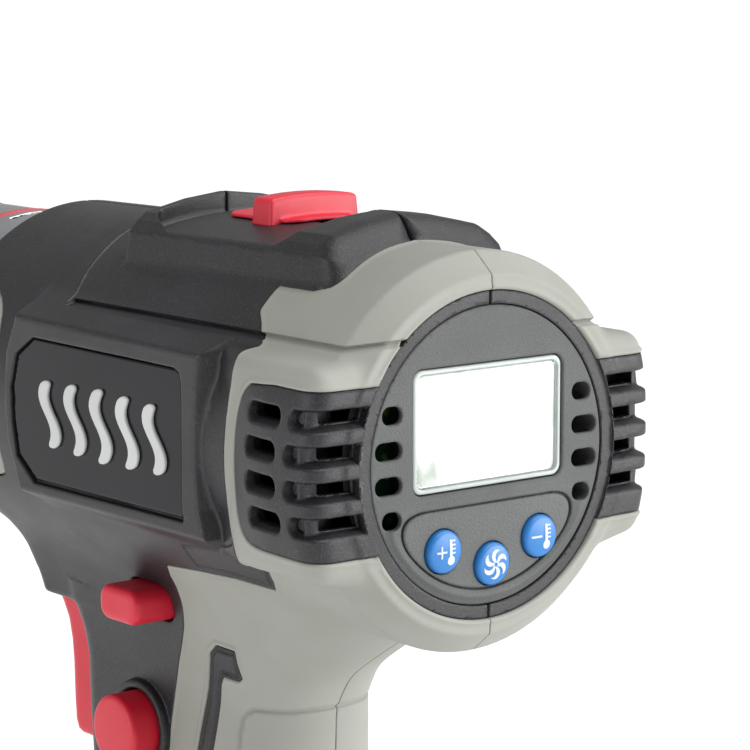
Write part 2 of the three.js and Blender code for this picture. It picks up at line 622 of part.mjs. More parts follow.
// ---- controls -----------------------------------------------------------------------------------------
function topSlider() {
  const crown = (base, y) => base - (y * y) / 190;
  const steps = [-12.2, -8, -4, 0, 4, 8, 12.2];
  const bar = [...steps.map((y) => [y, crown(44.4, y)]),
    ...[...steps].reverse().map((y) => [y * 0.97, 49.8 - (y * y) / 170])];
  const flat = [-8, -4, 0, 4, 8];
  const plate = [...flat.map((y) => [y, crown(44.4, y)]),
    ...[...flat].reverse().map((y) => [y, crown(45.5, y)])];
  const knob = extrude("x", bar, 58.3, 64.8);
  const base = extrude("x", plate, 54, 79);
  const stem = box([59, 64], [-2.8, 2.8], [37.6, 45]);
  add("top_slider", join(knob, base, stem), RED);
  const body = box([50, 76], [-6.5, 6.5], [23, 36]);
  add("slider_switch", body.add(box([58, 65], [-2, 2], [35.9, 37.2])), BLACK);
}

function triggerGroup() {
  const h = TRIGGER.half;
  const side = [[113, TRIGGER.top], [153.8, TRIGGER.top], [154.4, -55.4], [151, -61], [149.3, -70],
    [148.8, -80], [148, -86], [145, TRIGGER.bottom], [113, TRIGGER.bottom]];
  const plan = [[113, -h], [143, -h], [148.8, -h * 0.86], [152.6, -h * 0.5], [154.6, 0], [152.6, h * 0.5],
    [148.8, h * 0.86], [143, h], [113, h]];
  const form = extrude("y", side, -h, h).intersect(extrude("z", plan, TRIGGER.bottom - 1, TRIGGER.top + 1));
  const pocket = rod("x", [0, -70], 4.4, 105, 132);
  add("trigger", cut(form, pocket), RED);
  const body = box([76, 104], [-8.4, 8.4], [-87, -54]);
  const tang = rod("x", [0, -70], 2.2, 103.9, 106.6);
  add("trigger_switch", cut(body.add(tang), lockRelief()), BLACK);
  const wire = { from: 111, to: 131.4, radius: 3.4, turns: 5, r: 0.45, z: -70 };
  add("trigger_spring", coil(wire), DARK_STEEL);
}

// Room in the switch for the lock-on button's stem.
const lockRelief = () => rod("y", [LOCK.x, LOCK.z], 4.6, 5.6, 12);

function sideButtons() {
  const cap = rod("y", [LOCK.x, LOCK.z], LOCK.r, 15.4, LOCK.out - 0.8, 20);
  const crown = rod("y", [LOCK.x, LOCK.z], LOCK.r - 1, LOCK.out - 1, LOCK.out, 20);
  const stem = rod("y", [LOCK.x, LOCK.z], 3.8, 10.4, 16);
  add("lock_button", join(cap, crown, stem), RED);
  const { x, z, length, height } = SELECTOR;
  const bar = extrude("y", roundRect(x, z, length, height, 3), SELECTOR.right + 0.8, SELECTOR.left - 0.8);
  const tip = extrude("y", roundRect(x, z, length - 1.6, height - 1.6, 2.4), SELECTOR.right, SELECTOR.left);
  add("selector_bar", bar.add(tip), RED);
}

// ---- handle internals ---------------------------------------------------------------------------------
function handleParts() {
  const sheet = box([62, 101], [-4.4, -2.8], [-156, -112]);
  const sink = join(box([66, 84], [-2.9, 0.4], [-150, -130]), box([66, 84], [0.3, 9], [-150, -147]),
    box([66, 84], [0.3, 9], [-141.5, -138.5]), box([66, 84], [0.3, 9], [-133, -130]));
  const choke = rod("y", [93, -140], 6, -2.9, 8, 20);
  add("power_board", join(sheet, sink, choke), BOARD);
  add("suppressor_capacitor", box([86, 100], [-2.4, 7.6], [-128, -108]), PALE);
  add("terminal_block", box([70, 92], [-6, 6], [-104, -93]), PALE);
  const { bore, neck, flange, lip, length } = GLAND;
  const gland = turned([[0, bore], [0, flange], [lip, flange], [lip, neck], [length, neck], [length, bore],
    [0, bore]], 16);
  const g = geometryOf(gland);
  g.rotateY(-Math.PI / 2);
  g.translate(GLAND.x, 0, HANDLE_BASE);
  add("cord_gland", solid(g), BLACK);
  const clampZ = -167.5;
  const clampScrews = { clamp_screw_rear: 74.5, clamp_screw_front: 93.5 };
  const holes = Object.values(clampScrews).map((x) => rod("y", [x, clampZ], 1.7, -9, 0, 12));
  const bridge = box([71, 97], [-7.4, -4.6], [clampZ - 3.5, clampZ + 3.5]);
  add("cord_clamp", cut(bridge, ...holes), PALE);
  const fixing = { head: 2.6, headAt: -7.7, headEnd: -9.3, shank: 1.2, tip: 2 };
  for (const [name, x] of Object.entries(clampScrews)) {
    add(name, screw("y", [x, clampZ], fixing), DARK_STEEL);
  }
}

function housingScrews() {
  HOUSING_SCREWS.forEach((at, i) => {
    add("housing_screw_" + (i + 1), screw("y", at, SCREW), DARK_STEEL);
  });
}

housings();
overmoulds();
frontPads();
badges();
rearPanel();
keypad();
display();
controlBoard();
fanAndMotor();
heater();
topSlider();
triggerGroup();
sideButtons();
handleParts();
housingScrews();

part.position.set(-GRIP[0], -GRIP[1], -GRIP[2]);
const heatGun = new THREE.Group();
heatGun.add(part);
export default heatGun;
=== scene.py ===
# A pistol-grip heat gun with a display at its rear, built over its CAD frame.
# Shapes are distance fields in millimetres in the modelling frame: X forward along the barrel, Y left, Z up,
# with the origin at the middle of the rear panel's face. A field is below zero inside its solid. Each
# field becomes a mesh in metres in the part's frame.
import math
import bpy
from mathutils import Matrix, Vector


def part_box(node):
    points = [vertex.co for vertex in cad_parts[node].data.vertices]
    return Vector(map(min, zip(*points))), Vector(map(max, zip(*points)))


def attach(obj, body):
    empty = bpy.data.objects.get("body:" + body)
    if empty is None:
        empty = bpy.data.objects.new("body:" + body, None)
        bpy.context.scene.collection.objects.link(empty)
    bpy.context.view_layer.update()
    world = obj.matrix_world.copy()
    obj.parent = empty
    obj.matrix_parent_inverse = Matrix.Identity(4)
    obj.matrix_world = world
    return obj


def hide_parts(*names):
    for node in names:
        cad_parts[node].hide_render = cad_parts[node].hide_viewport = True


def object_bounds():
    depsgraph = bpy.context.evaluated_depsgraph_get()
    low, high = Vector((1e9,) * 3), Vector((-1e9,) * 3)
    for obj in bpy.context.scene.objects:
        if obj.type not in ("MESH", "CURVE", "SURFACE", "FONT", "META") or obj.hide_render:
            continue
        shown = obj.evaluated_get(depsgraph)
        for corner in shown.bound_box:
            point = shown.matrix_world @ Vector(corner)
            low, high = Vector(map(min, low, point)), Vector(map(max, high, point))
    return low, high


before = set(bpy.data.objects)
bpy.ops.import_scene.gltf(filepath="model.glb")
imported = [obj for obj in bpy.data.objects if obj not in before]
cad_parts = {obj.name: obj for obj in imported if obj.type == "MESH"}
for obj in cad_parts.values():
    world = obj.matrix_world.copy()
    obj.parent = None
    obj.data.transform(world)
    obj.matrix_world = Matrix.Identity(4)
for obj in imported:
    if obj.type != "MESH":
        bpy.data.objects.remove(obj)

from concurrent.futures import ThreadPoolExecutor
from functools import reduce

import bpy
import numpy as np
import openvdb
from mathutils import Vector

F = np.float32  # the number type that fields are worked out in
both = np.maximum  # what two solids share
either = np.minimum  # two solids together
START_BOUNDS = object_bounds()

PANEL_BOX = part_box("rear_panel")
# The modelling frame's origin, in metres in the part's frame.
HEAD = np.array([PANEL_BOX[0][0], 0.0, (PANEL_BOX[0][2] + PANEL_BOX[1][2]) / 2])
MM = 0.001
BLOCK = 8  # voxels along the side of one block of a field
WALL = 3.7  # thickness of the housing
SKIN = 1.5  # thickness of the grey overmould
FIT = 0.15  # room between the overmould and its bed
SEAM = 0.12  # half the gap between the two housing halves


# ---- distance fields ----
def smax(a, b, k):
    """What two solids share, with the crease between them rounded over k."""
    h = np.maximum(k - np.abs(a - b), 0) / k
    return np.maximum(a, b) + h * h * (k * 0.25)


def smin(a, b, k):
    """Two solids joined, with the crease between them filled over k."""
    h = np.maximum(k - np.abs(a - b), 0) / k
    return np.minimum(a, b) - h * h * (k * 0.25)


def cut(d, hole, k=0.0):
    """A solid with a hole taken out, its edge rounded over k."""
    return smax(d, -hole, k) if k else np.maximum(d, -hole)


def span(v, a, b):
    """The slab between a and b."""
    return both(a - v, v - b)


def rect(u, v, half_u, half_v, r):
    """A rectangle about the origin with corners of radius r."""
    a = np.abs(u) - (half_u - r)
    b = np.abs(v) - (half_v - r)
    return np.minimum(np.maximum(a, b), 0) + np.hypot(np.maximum(a, 0), np.maximum(b, 0)) - r


def to_edge(u, v, start, end):
    """Squared distance to the straight edge between two points."""
    ex, ey = end[0] - start[0], end[1] - start[1]
    wx, wy = u - start[0], v - start[1]
    t = np.clip((wx * ex + wy * ey) * (1 / (ex * ex + ey * ey)), 0, 1)
    return (wx - ex * t) ** 2 + (wy - ey * t) ** 2


def line(u, v, points):
    """Distance to an open line through points."""
    return np.sqrt(reduce(either, (to_edge(u, v, *ends) for ends in zip(points, points[1:]))))


def poly(u, v, points):
    """Signed distance to a closed outline."""
    closed = points + points[:1]
    inside = False
    for (ax, ay), (bx, by) in zip(points, closed[1:]):
        if ay != by:
            inside = inside ^ (((ay > v) != (by > v)) & (u < (bx - ax) * (v - ay) * (1 / (by - ay)) + ax))
    return line(u, v, closed) * np.where(inside, F(-1), F(1))


def rounded(points, times=2):
    """The outline with its corners cut, times over."""
    p = np.array(points, float)
    for _ in range(times):
        q = np.roll(p, -1, 0)
        p = np.stack([0.75 * p + 0.25 * q, 0.25 * p + 0.75 * q], 1).reshape(-1, 2)
    return [tuple(c) for c in p.tolist()]


def soft(d, width):
    """A smooth bump that is 1 where d is 0 and fades over the width, for grooves and ridges."""
    return np.exp(-(d / width) ** 2)


# ---- the outer form ----
BARREL_R = 42
BARREL_TAPER = 0.6  # how much smaller its radius is at the front
BARREL_REAR = -0.6
BARREL_FRONT = 150
REAR_RIM_R = 37.4  # where the rear cone meets the rear face


def barrel(x, r):
    """The round body of the head, with a cone at its rear."""
    side = r - (BARREL_R - BARREL_TAPER * np.clip((x - 100) / 50, 0, 1))
    cone = (r - REAR_RIM_R) * 0.767 - (x - BARREL_REAR) * 0.6415
    d = smax(side, cone, 0.35)
    d = smax(d, BARREL_REAR - x, 0.4)
    return smax(d, x - BARREL_FRONT, 1.4)


BLOCK_FACE = 46.9  # how far out the vent block's outer face lies


def vent_block(x, y, z):
    """The block that carries the side vent slots."""
    side = y - (BLOCK_FACE - 2.8 * np.abs(z / 20) ** 3)
    top = (z + 0.11 * y - 26.3) * 0.994
    bottom = (-z + 0.20 * y - 30.5) * 0.981
    front_corner = 0.391 * (x - 21) + 0.920 * (y - BLOCK_FACE)
    d = smax(top, side, 1.8)
    d = smax(bottom, d, 2.0)
    d = smax(d, front_corner, 4.0)
    d = smax(d, -0.5 - x, 6.0)
    return both(d, x - 40)


# The hump's section: distance from the middle plane, and height.
HUMP = [(0, 47.8), (10.5, 46.6), (20.9, 44.3), (23.4, 42.5), (25.3, 40.2), (26.6, 33), (26.6, 24), (0, 24)]
HUMP_FRONT = 93.5


def hump(x, y, z):
    """The raised top. It narrows a little towards the rear, where it slopes down to the collar."""
    narrowing = 1 + 0.001 * (93 - x)
    rear = 22.5 - x - 0.32 * np.maximum(42.8 - z, 0)
    rear_slope = (28.2 - x) * 0.72 + (z - 47.9) * 0.69
    d = poly(y * narrowing, z, HUMP)
    d = smax(d, rear, 5.0)
    d = smax(d, rear_slope, 3.0)
    return smax(d, x - HUMP_FRONT, 1.0)


# Sections of the neck and the grip: height, rear edge, front edge, half width.
SECTIONS = np.array([
    (-190, 52.5, 117, 19.2), (-186, 51.4, 118, 19.7), (-182, 51, 118, 19.8), (-172, 52.5, 113, 18.6),
    (-152, 50.5, 110, 17.6), (-130, 49, 110.5, 17.4), (-112, 48.3, 115, 17.6), (-101, 48.9, 122, 18),
    (-92, 49.9, 128.8, 18.5), (-76, 51.4, 130, 18.6), (-64, 51, 130.5, 18.6), (-56, 46, 133, 18.9),
    (-52.2, 40.5, 136, 19.2), (-48, 34, 136, 19.7), (-44, 27.5, 136, 20.6), (-38, 21.5, 136, 22.8),
    (-34, 18, 136, 25), (-26, 13.5, 136, 29.5), (-20, 11, 136, 33)])
LEVELS = np.linspace(-192, -18, 400)
SMOOTHING = 11  # levels on either side that each level is smoothed over
GRIP_BASE = -190


def smooth_column(column):
    """One of the columns of SECTIONS at every level, with its corners smoothed."""
    v = np.interp(LEVELS, SECTIONS[:, 0], SECTIONS[:, column])
    weights = np.hanning(2 * SMOOTHING + 1)
    return np.convolve(np.pad(v, SMOOTHING, mode="edge"), weights / weights.sum(), "valid")


REAR, FRONT, HALF = (smooth_column(c) for c in (1, 2, 3))
# The neck's front edge: heights, and x at each.
NECK_FRONT = ([-52, -50.4, -46.5, -44, -41.6, -37.8, -20], [147.4, 147.9, 149, 150, 150.6, 151, 151])


def at_level(z, values):
    return np.interp(z, LEVELS, values).astype(F)


def column(x, y, z, rear, front, half, nose=21.0, chin=11.0):
    """A rounded column: an elliptical nose at the rear and chin at the front, straight between."""
    power = F(1.9) + F(0.35) * np.clip((-50 - z) * F(0.05), 0, 1)
    xr, xf = rear + nose, front - chin
    u = np.where(x < xr, (xr - x) * (1 / nose), np.where(x > xf, (x - xf) * (1 / chin), 0))
    u = np.maximum(u, F(1e-4))
    v = np.maximum(np.abs(y) / half, F(1e-4))
    up, vp = u ** (power - 1), v ** (power - 1)
    s = up * u + vp * v
    f = s ** (1 / power)
    steepness = np.hypot(up / np.where(x < xr, F(nose), F(chin)), vp / half) * f / s
    return (f - 1) / np.maximum(steepness, F(1e-3))


def neck(x, y, z):
    """The part between the barrel and the grip, down to the crease above the trigger."""
    front = np.interp(z, *NECK_FRONT).astype(F)
    d = column(x, y, z, at_level(z, REAR), front, at_level(z, HALF), chin=9.0)
    return both(smax(d, -51.2 - z, 1.2), z + 22)


def grip(x, y, z):
    d = column(x, y, z, at_level(z, REAR), at_level(z, FRONT), at_level(z, HALF))
    return both(smax(d, GRIP_BASE - z, 2.0), z + 46)


# The raised side panel that holds the badge plate, seen from the left: x and z.
PLATEAU = [
    (41.9, 19.9), (112.5, 20.9), (117, 12), (118, 2), (117, -8), (112, -18.9), (40.2, -18.9), (42.2, -13),
    (43.3, -4), (43.3, 4), (42.8, 12)]
PLATEAU_FACE = 43.3


def plateau(x, y, z):
    bevel = (poly(x, z, PLATEAU) - (PLATEAU_FACE - y) * 0.5) * 0.894
    return both(smax(bevel, y - PLATEAU_FACE, 0.8), 30 - y)


def outer(x, y, z):
    """The outside of the left half, without its grooves, recesses and holes."""
    r = np.hypot(y, z)
    d = smin(barrel(x, r), vent_block(x, y, z), 1.2)
    d = smin(d, plateau(x, y, z), 0.8)
    d = smin(d, hump(x, y, z), 1.0)
    throat = 0.01 + 1.5 * np.clip((x - 116) * F(0.1), 0, 1)
    return smin(d, smin(neck(x, y, z), grip(x, y, z), throat), 5.0)


# ---- where the grey overmould lies ----
# Outlines seen from the left side, as x and z. GREY is where the overmould lies and GRILLE the black field
# round the vent slots in it. TIP is the housing's black point under the side panel, HOOK the black inlay in
# the grip, and PAD the open line of the groove round the grip's rear pad.
GREY = [
    (-5, 60), (27.5, 60), (27.5, 42), (24.5, 40.4), (22.2, 37.1), (23.6, 34), (26, 33.3), (36.9, 33.4),
    (37.2, 32.6), (37, 28.9), (36.4, 28.1), (34, 26.4), (31.9, 24.3), (30, 22.8), (29.5, 21), (29.6, 19.9),
    (30.9, 14.8), (32.8, 11.3), (34, 8.2), (34.4, 1), (34.5, -5.3), (34.1, -10.6), (31.8, -14.8),
    (30.4, -17.4), (29.9, -19.6), (30.1, -24.6), (31.4, -27.6), (33.4, -30), (47.7, -30), (61.8, -31),
    (76.1, -32.4), (78.7, -35.5), (79.9, -39.9), (80.3, -43.6), (81.4, -48.5), (84.6, -57.1), (86.8, -65.3),
    (88.7, -73.6), (89.8, -79.1), (90, -95), (87.5, -112), (84.5, -132), (83, -152), (84, -172), (87, -195),
    (-5, -195)]
GRILLE = rounded([
    (-8, 17.2), (20.3, 17.4), (24, 14.8), (26.3, 10.7), (28.3, 5.6), (29.1, -0.2), (28.2, -6.6), (26.6, -12),
    (23.8, -15.2), (20.7, -16.4), (15.3, -16.8), (-8, -17.2)], 1)
TIP = [
    (28, -14), (33, -17.5), (47, -22), (62, -24), (62, -30.8), (47.7, -30), (33.4, -30), (30.1, -24.6),
    (29.9, -19.6)]
HOOK = [
    (77.9, -76.4), (75.8, -69.2), (73.2, -61), (71.9, -52.9), (69.5, -50.9), (62.6, -51), (61.7, -56.7),
    (62.6, -57.4), (66.4, -57.2), (67.6, -57.1), (68.7, -59.2), (69.5, -64), (70.8, -69.7), (72.3, -75.2),
    (73.5, -85), (74, -100), (71.5, -125), (69.5, -157), (74.5, -158), (77, -125), (79.5, -100), (79, -85)]
PAD = [
    (40, -62.9), (54.3, -64.1), (60.1, -63.9), (61.6, -64.6), (62.7, -66), (63.4, -68.7), (63.9, -73.6),
    (64, -90), (62.5, -120), (61, -150), (60.6, -166), (59, -170.5), (55, -172.5), (40, -173)]
RING_R = 34.2  # outer radius of the black ring round the rear panel


def hook(x, y, z):
    return both(poly(x, z, HOOK) - 0.3, 4 - y)


def grille(x, y, z):
    return both(poly(x, z, GRILLE), 29 - y)


def grey_zone(x, y, z, r):
    """Below zero where the overmould covers the housing."""
    d = poly(x, z, GREY)
    d = both(d, 0.3 - hump(x, y, z))
    d = cut(d, grille(x, y, z))
    d = cut(d, both(r - RING_R, x - 8))
    return cut(d, hook(x, y, z))


# The seam that slants across the top of the barrel: heights, and x at each.
SLANT = ([22, 25.8, 29.8, 33.8, 37.5, 43], [100.9, 102.6, 104.2, 105.3, 106.6, 107.6])


def styled(x, y, z, o):
    """The outer surface with its engraved lines: the long groove beside the barrel and the slanted seam."""
    across = (24.2 + 0.2 * np.clip(5 - x, 0, 6) - z) * 1.24
    lane = np.clip((0.9 - np.abs(across)) * 5, 0, 1) * np.clip((101.4 - x) * 3, 0, 1) * (y > 20)
    o = o + lane * (0.85 - 0.5 * across)
    slant = x - np.interp(z, *SLANT).astype(F)
    return o + 1.0 * soft(slant, 0.3) * (z > 24)


# ---- holes and recesses ----
ROWS = 4
ROW_TOP = 11.7  # height of the top row of vent slots
ROW_PITCH = 7.15
SLOT_HALF = 1.45  # half a slot's height, deep inside it
FRONT_SLOT = (15.4, 5.3)  # middle and half length of the front column's slots
REAR_SLOT = (-2.5, 8.9)


def vent_slots(x, y, z, r, o):
    """Both columns of slots. Their mouths widen downwards towards the outer face."""
    row = np.clip(np.round((ROW_TOP - z) * (1 / ROW_PITCH)), 0, ROWS - 1)
    flare = np.clip((o + 1.9) * 0.55, 0, 1)
    dz = z - (ROW_TOP - row * ROW_PITCH) + 0.3 * flare
    tall = SLOT_HALF + 0.75 * flare
    shift = 1.95 - 1.3 * np.abs(row - 1.5)  # the middle rows sit further forward
    front = both(rect(x - FRONT_SLOT[0] - shift, dz, FRONT_SLOT[1] + 0.6 * flare, tall, tall - 0.2), 36 - y)
    mouth = rect(x - REAR_SLOT[0] - shift, dz, REAR_SLOT[1] + 0.6 * flare, tall, tall - 0.2)
    pocket = both(mouth, both(-2.4 - o, 34.6 - r))
    pocket = smax(pocket, 1.15 - np.hypot(x - 3.4 - shift, (o + 2.6) * 0.8), 0.5)
    back = either(x - 1.2 - shift, both(x - 7, y - 42.3))
    deep = both(both(np.abs(dz - 0.25) - 1.25, back), 35.0 - r)
    return either(either(front, pocket), both(deep, 30 - y))


def baffle(x, y, z, o):
    """An upright rib behind the bars between the two columns, so that no light passes through the block."""
    middle = 8.0 + 1.3 * np.clip((9.0 - np.abs(z - 0.98)) * 0.286, 0, 1)
    rib = both(np.abs(x - middle) - 0.75, 35 - y)
    return both(rib, both(o + 1.2, np.abs(z) - 17))


SADDLE_FLOOR = 44
SADDLE_CURVE = 1 / 190  # its floor drops by this times y squared
SADDLE_FRONT = 91


def saddle(x, y, z):
    """The recess in the top that the slider runs in. Its floor rises at the rear."""
    rise = np.maximum(44.5 - x, 0)
    trough = 1.8 * soft(x - 89.5, 2.4)
    floor = SADDLE_FLOOR - y * y * SADDLE_CURVE + rise * rise * 0.0656 - trough
    cheek = np.maximum(np.abs(y) - 17.5, 0)
    return both(smax(floor - z, x - SADDLE_FRONT + 0.25 * cheek * cheek, 1.2), 30 - x)


# More outlines seen from the left side: the badge plate, its recess and the grey pad at the barrel's front.
BADGE = [
    (105.3, 16.2), (112.1, 11.8), (114.5, 4.2), (114.1, -3.3), (112.4, -10.8), (105.4, -15.7), (48.6, -15.4),
    (48.2, -14.8), (48.2, 13.4), (48.9, 15.2), (50.6, 15.9)]
BADGE_MOUTH = [
    (105.6, 16.5), (112.8, 12.1), (115.3, 4.3), (114.9, -3.5), (113.2, -11.3), (106, -16.6), (47.9, -16.2),
    (47.4, -15.4), (48, -14.2), (48, 13.4), (48.7, 15.4), (50.5, 16.2)]
FRONT_PAD = rounded([
    (132.5, 23.9), (125.6, 15.8), (125.5, -16.9), (131, -19.6), (144, -19.6), (144, 23.9)], 2)
SELECTOR = (92.4, -44.1)  # x and z of the oval cross-bolt's axis
LOCK = (99.5, -75.6)  # x and z of the lock-on button's axis
LOCK_BORE = 8.95
GLAND_X = 84.0
GLAND_SEAT_R = 9.7  # of the seat for its flange
GLAND_BORE_R = 7.7  # of the bore for its neck
PANEL_BORE = 31.25  # radius of the mouth for the rear panel
SLEEVE_BORE = 37.5  # radius of the mouth for the steel sleeve
BADGE_FLOOR = 41.7  # how far out the floor of the badge plate's recess lies
TRIGGER_MOUTH = (-89.5, -51.6)  # its lowest and highest points
SPRING_Z = -70  # height of the trigger spring's axis
# x and z of the seven housing screws
SCREWS = [(112, 35), (34, 37), (26, -36), (119, -44.5), (61, -71), (62, -103), (106, -172)]


def selector_outline(x, z, grow=0.0):
    return rect(x - SELECTOR[0], z - SELECTOR[1], 7.4 + grow, 4.1 + grow, 3.4)


def housing_common(x, y, z):
    """The left half of the housing, with all that both halves share."""
    r = np.hypot(y, z)
    o = outer(x, y, z)
    zone = grey_zone(x, y, z, r)
    sunk = saddle(x, y, z)
    d = styled(x, y, z, o)
    # the ring round the rear panel
    d = cut(d, both(r - RING_R, x + 0.2))
    d = either(d, both(both(r - 34.0, 30 - r), span(x, -0.2, 4)))
    # the bed under the overmould, and a groove just inside the edges of the hook and the tip
    d = cut(d, both(zone - 0.06, -(o + SKIN + FIT)), 0.3)
    inlay = either(hook(x, y, z), both(poly(x, z, TIP), 24 - y))
    d = d + 0.4 * soft(inlay + 0.95, 0.35)
    # the recesses for the slider, the badge plate and the front pad
    d = cut(d, sunk, 0.6)
    d = cut(d, both(poly(x, z, BADGE_MOUTH), BADGE_FLOOR - y), 0.4)
    d = cut(d, both(both(poly(x, z, FRONT_PAD) - 0.2, 30 - y), -(o + SKIN + FIT)))
    # the vent slots, the inside and the rib behind the slots
    d = cut(d, vent_slots(x, y, z, r, o), 0.5)
    hollow = both(both(o + WALL, 3 - sunk), x - 146)
    d = cut(d, hollow)
    d = either(d, baffle(x, y, z, o))
    # the mouths for the rear panel, the steel sleeve, the selector, the trigger and the slider's stem
    d = cut(d, both(r - PANEL_BORE, x - 12), 0.25)
    d = cut(d, both(r - SLEEVE_BORE, 138 - x), 0.6)
    d = cut(d, selector_outline(x, z, 0.4), 0.5)
    d = cut(d, both(both(116 - x, y - 8.1), span(z, *TRIGGER_MOUTH)), 0.8)
    d = cut(d, both(both(np.abs(x - 65) - 14, y - 3.4), 36 - z))
    # the gland's bore and the seat of its flange
    gland = np.hypot(x - GLAND_X, y)
    d = cut(d, both(gland - GLAND_BORE_R, z + 178), 0.4)
    d = cut(d, both(gland - GLAND_SEAT_R, z + 186.7), 0.4)
    # the seam on the middle plane, wider where the hump meets the collar
    gape = SEAM + 0.55 * np.clip((50 - z) * 0.1, 0, 1) * soft(x - 23.5, 2.2) * (z > 40)
    return smax(d, gape - y, 0.5)


def housing_left(x, y, z):
    """The left half, with a collar round the lock-on button."""
    d = housing_common(x, y, z)
    reach = np.hypot(x - LOCK[0], z - LOCK[1])
    collar = smax(both(np.abs(reach - 9.9) - 1.1, 12 - y), y - 20.9, 1.2)
    d = smin(d, collar, 0.5)
    return cut(d, both(reach - LOCK_BORE, 4 - y), 0.4)


SCREW_SEAT = 12.7  # how far the screws' seats lie from the middle plane
WELL_R, BOSS_R, BORE_R = 3.2, 5.0, 1.7  # of the screws


def housing_right(x, y, z):
    """The right half, with a well, a boss and a bore for each screw."""
    d = housing_common(x, -y, z)
    for sx, sz in SCREWS:
        reach = np.hypot(x - sx, z - sz)
        d = cut(d, both(reach - WELL_R, SCREW_SEAT + y), 0.5)
        inside = outer(x, -y, z) + 1.0
        d = either(d, both(both(reach - BOSS_R, inside), both(-y - SCREW_SEAT, y + 8)))
        d = cut(d, both(reach - BORE_R, y))
    return d


def overmould(x, y, z):
    """The left half of the grey overmould, with its edge groove and the groove round the rear pad."""
    r = np.hypot(y, z)
    o = outer(x, y, z)
    zone = grey_zone(x, y, z, r)
    face = styled(x, y, z, o) - 0.30 * soft(zone + 0.65, 0.5)
    face = face + 0.7 * soft(line(x, z, PAD), 0.5)
    d = smax(face, zone, 0.4)
    d = cut(d, o + SKIN)
    gland = np.hypot(x - GLAND_X, y)
    d = cut(d, both(gland - GLAND_SEAT_R, z + 180), 0.4)
    return smax(d, 0.05 - y, 0.18)


def overmould_right(x, y, z):
    """The right half, with a hole over each screw."""
    d = overmould(x, -y, z)
    for sx, sz in SCREWS:
        d = smax(d, 3.5 - np.hypot(x - sx, z - sz), 0.5)
    return d


# ---- meshes from fields ----
POOL = ThreadPoolExecutor(4)
BLOCK_BATCH = 768  # blocks that one task works out
POINT_BATCH = 40000  # points that one task works out
HALF_DIAGONAL = 0.87  # of a cube with sides of 1
STEEPEST = 1.7  # how fast a field may change, against a true distance
RELIEF = 1.2  # how far grooves and other small shapes may be missed at a block's middle
PROBE = 0.12  # how far from a point its slope is measured
NUDGE = 0.35  # the furthest that a vertex moves in one pass, in voxels


def sample(field, low, high, step):
    """The field on a dense grid, worked out only in the blocks near its surface."""
    low = np.array(low, float)
    counts = np.ceil((np.array(high, float) - low) / (step * BLOCK)).astype(int)
    side = step * BLOCK
    middle = [(low[a] + side * (np.arange(counts[a]) + 0.5)).astype(F) for a in range(3)]
    rough = field(middle[0][:, None, None], middle[1][None, :, None], middle[2][None, None, :])
    rough = np.broadcast_to(rough, counts)
    limit = F(3 * step)
    dense = np.repeat(np.repeat(np.repeat(np.where(rough > 0, limit, -limit).astype(F), BLOCK, 0), BLOCK, 1),
                      BLOCK, 2)
    view = dense.reshape(counts[0], BLOCK, counts[1], BLOCK, counts[2], BLOCK)
    near = np.argwhere(np.abs(rough) < side * HALF_DIAGONAL * STEEPEST + RELIEF)
    offsets = (step * (np.arange(BLOCK) + 0.5)).astype(F)
    batches = np.array_split(near, max(1, len(near) // BLOCK_BATCH))

    def work(blocks):
        if not len(blocks):
            return
        base = (low + blocks * side).astype(F)
        x = base[:, 0, None, None, None] + offsets[None, :, None, None]
        y = base[:, 1, None, None, None] + offsets[None, None, :, None]
        z = base[:, 2, None, None, None] + offsets[None, None, None, :]
        values = np.clip(np.broadcast_to(field(x, y, z), (len(blocks), BLOCK, BLOCK, BLOCK)), -limit, limit)
        for (i, j, k), v in zip(blocks, values):
            view[i, :, j, :, k, :] = v

    list(POOL.map(work, batches))
    return dense, low + step / 2


def on_points(field, points):
    """The field's value at each point."""
    def work(p):
        p = p.astype(F)
        return np.broadcast_to(field(p[:, 0], p[:, 1], p[:, 2]), (len(p),))
    batches = np.array_split(points, max(1, len(points) // POINT_BATCH))
    return np.concatenate(list(POOL.map(work, batches)))


CORNERS = np.array([(1, -1, -1), (-1, -1, 1), (-1, 1, -1), (1, 1, 1)], float)


def slope(field, points):
    """The field's slope at each point, from four samples round it."""
    samples = (corner * on_points(field, points + corner * PROBE)[:, None] for corner in CORNERS)
    return sum(samples) / (4 * PROBE)


def surface(field, low, high, step, adapt=0.02):
    """Vertices, triangles, quads and vertex normals of the field's zero surface."""
    dense, origin = sample(field, low, high, step)
    grid = openvdb.FloatGrid(float(3 * step))
    grid.copyFromArray(dense, ijk=(0, 0, 0), tolerance=0.0)
    points, tris, quads = grid.convertToPolygons(isovalue=0.0, adaptivity=adapt)
    points = points.astype(float) * step + origin
    for _ in range(2):
        g = slope(field, points)
        size = np.maximum((g * g).sum(1), 0.2)
        move = g * (on_points(field, points) / size)[:, None]
        length = np.linalg.norm(move, axis=1, keepdims=True)
        points = points - move * np.minimum(1, NUDGE * step / np.maximum(length, 1e-9))
    g = slope(field, points)
    normals = g / np.maximum(np.linalg.norm(g, axis=1, keepdims=True), 1e-6)
    return points, tris.astype(np.int64), quads.astype(np.int64), normals


def volume(points, tris, quads):
    faces = np.concatenate([tris, quads[:, [0, 1, 2]], quads[:, [0, 2, 3]]])
    a, b, c = (points[faces[:, i]] for i in range(3))
    return float(np.einsum("ij,ij->i", a, np.cross(b, c)).sum()) / 6


def place(points):
    """From millimetres in the modelling frame to metres in the part's frame."""
    return points * MM + HEAD


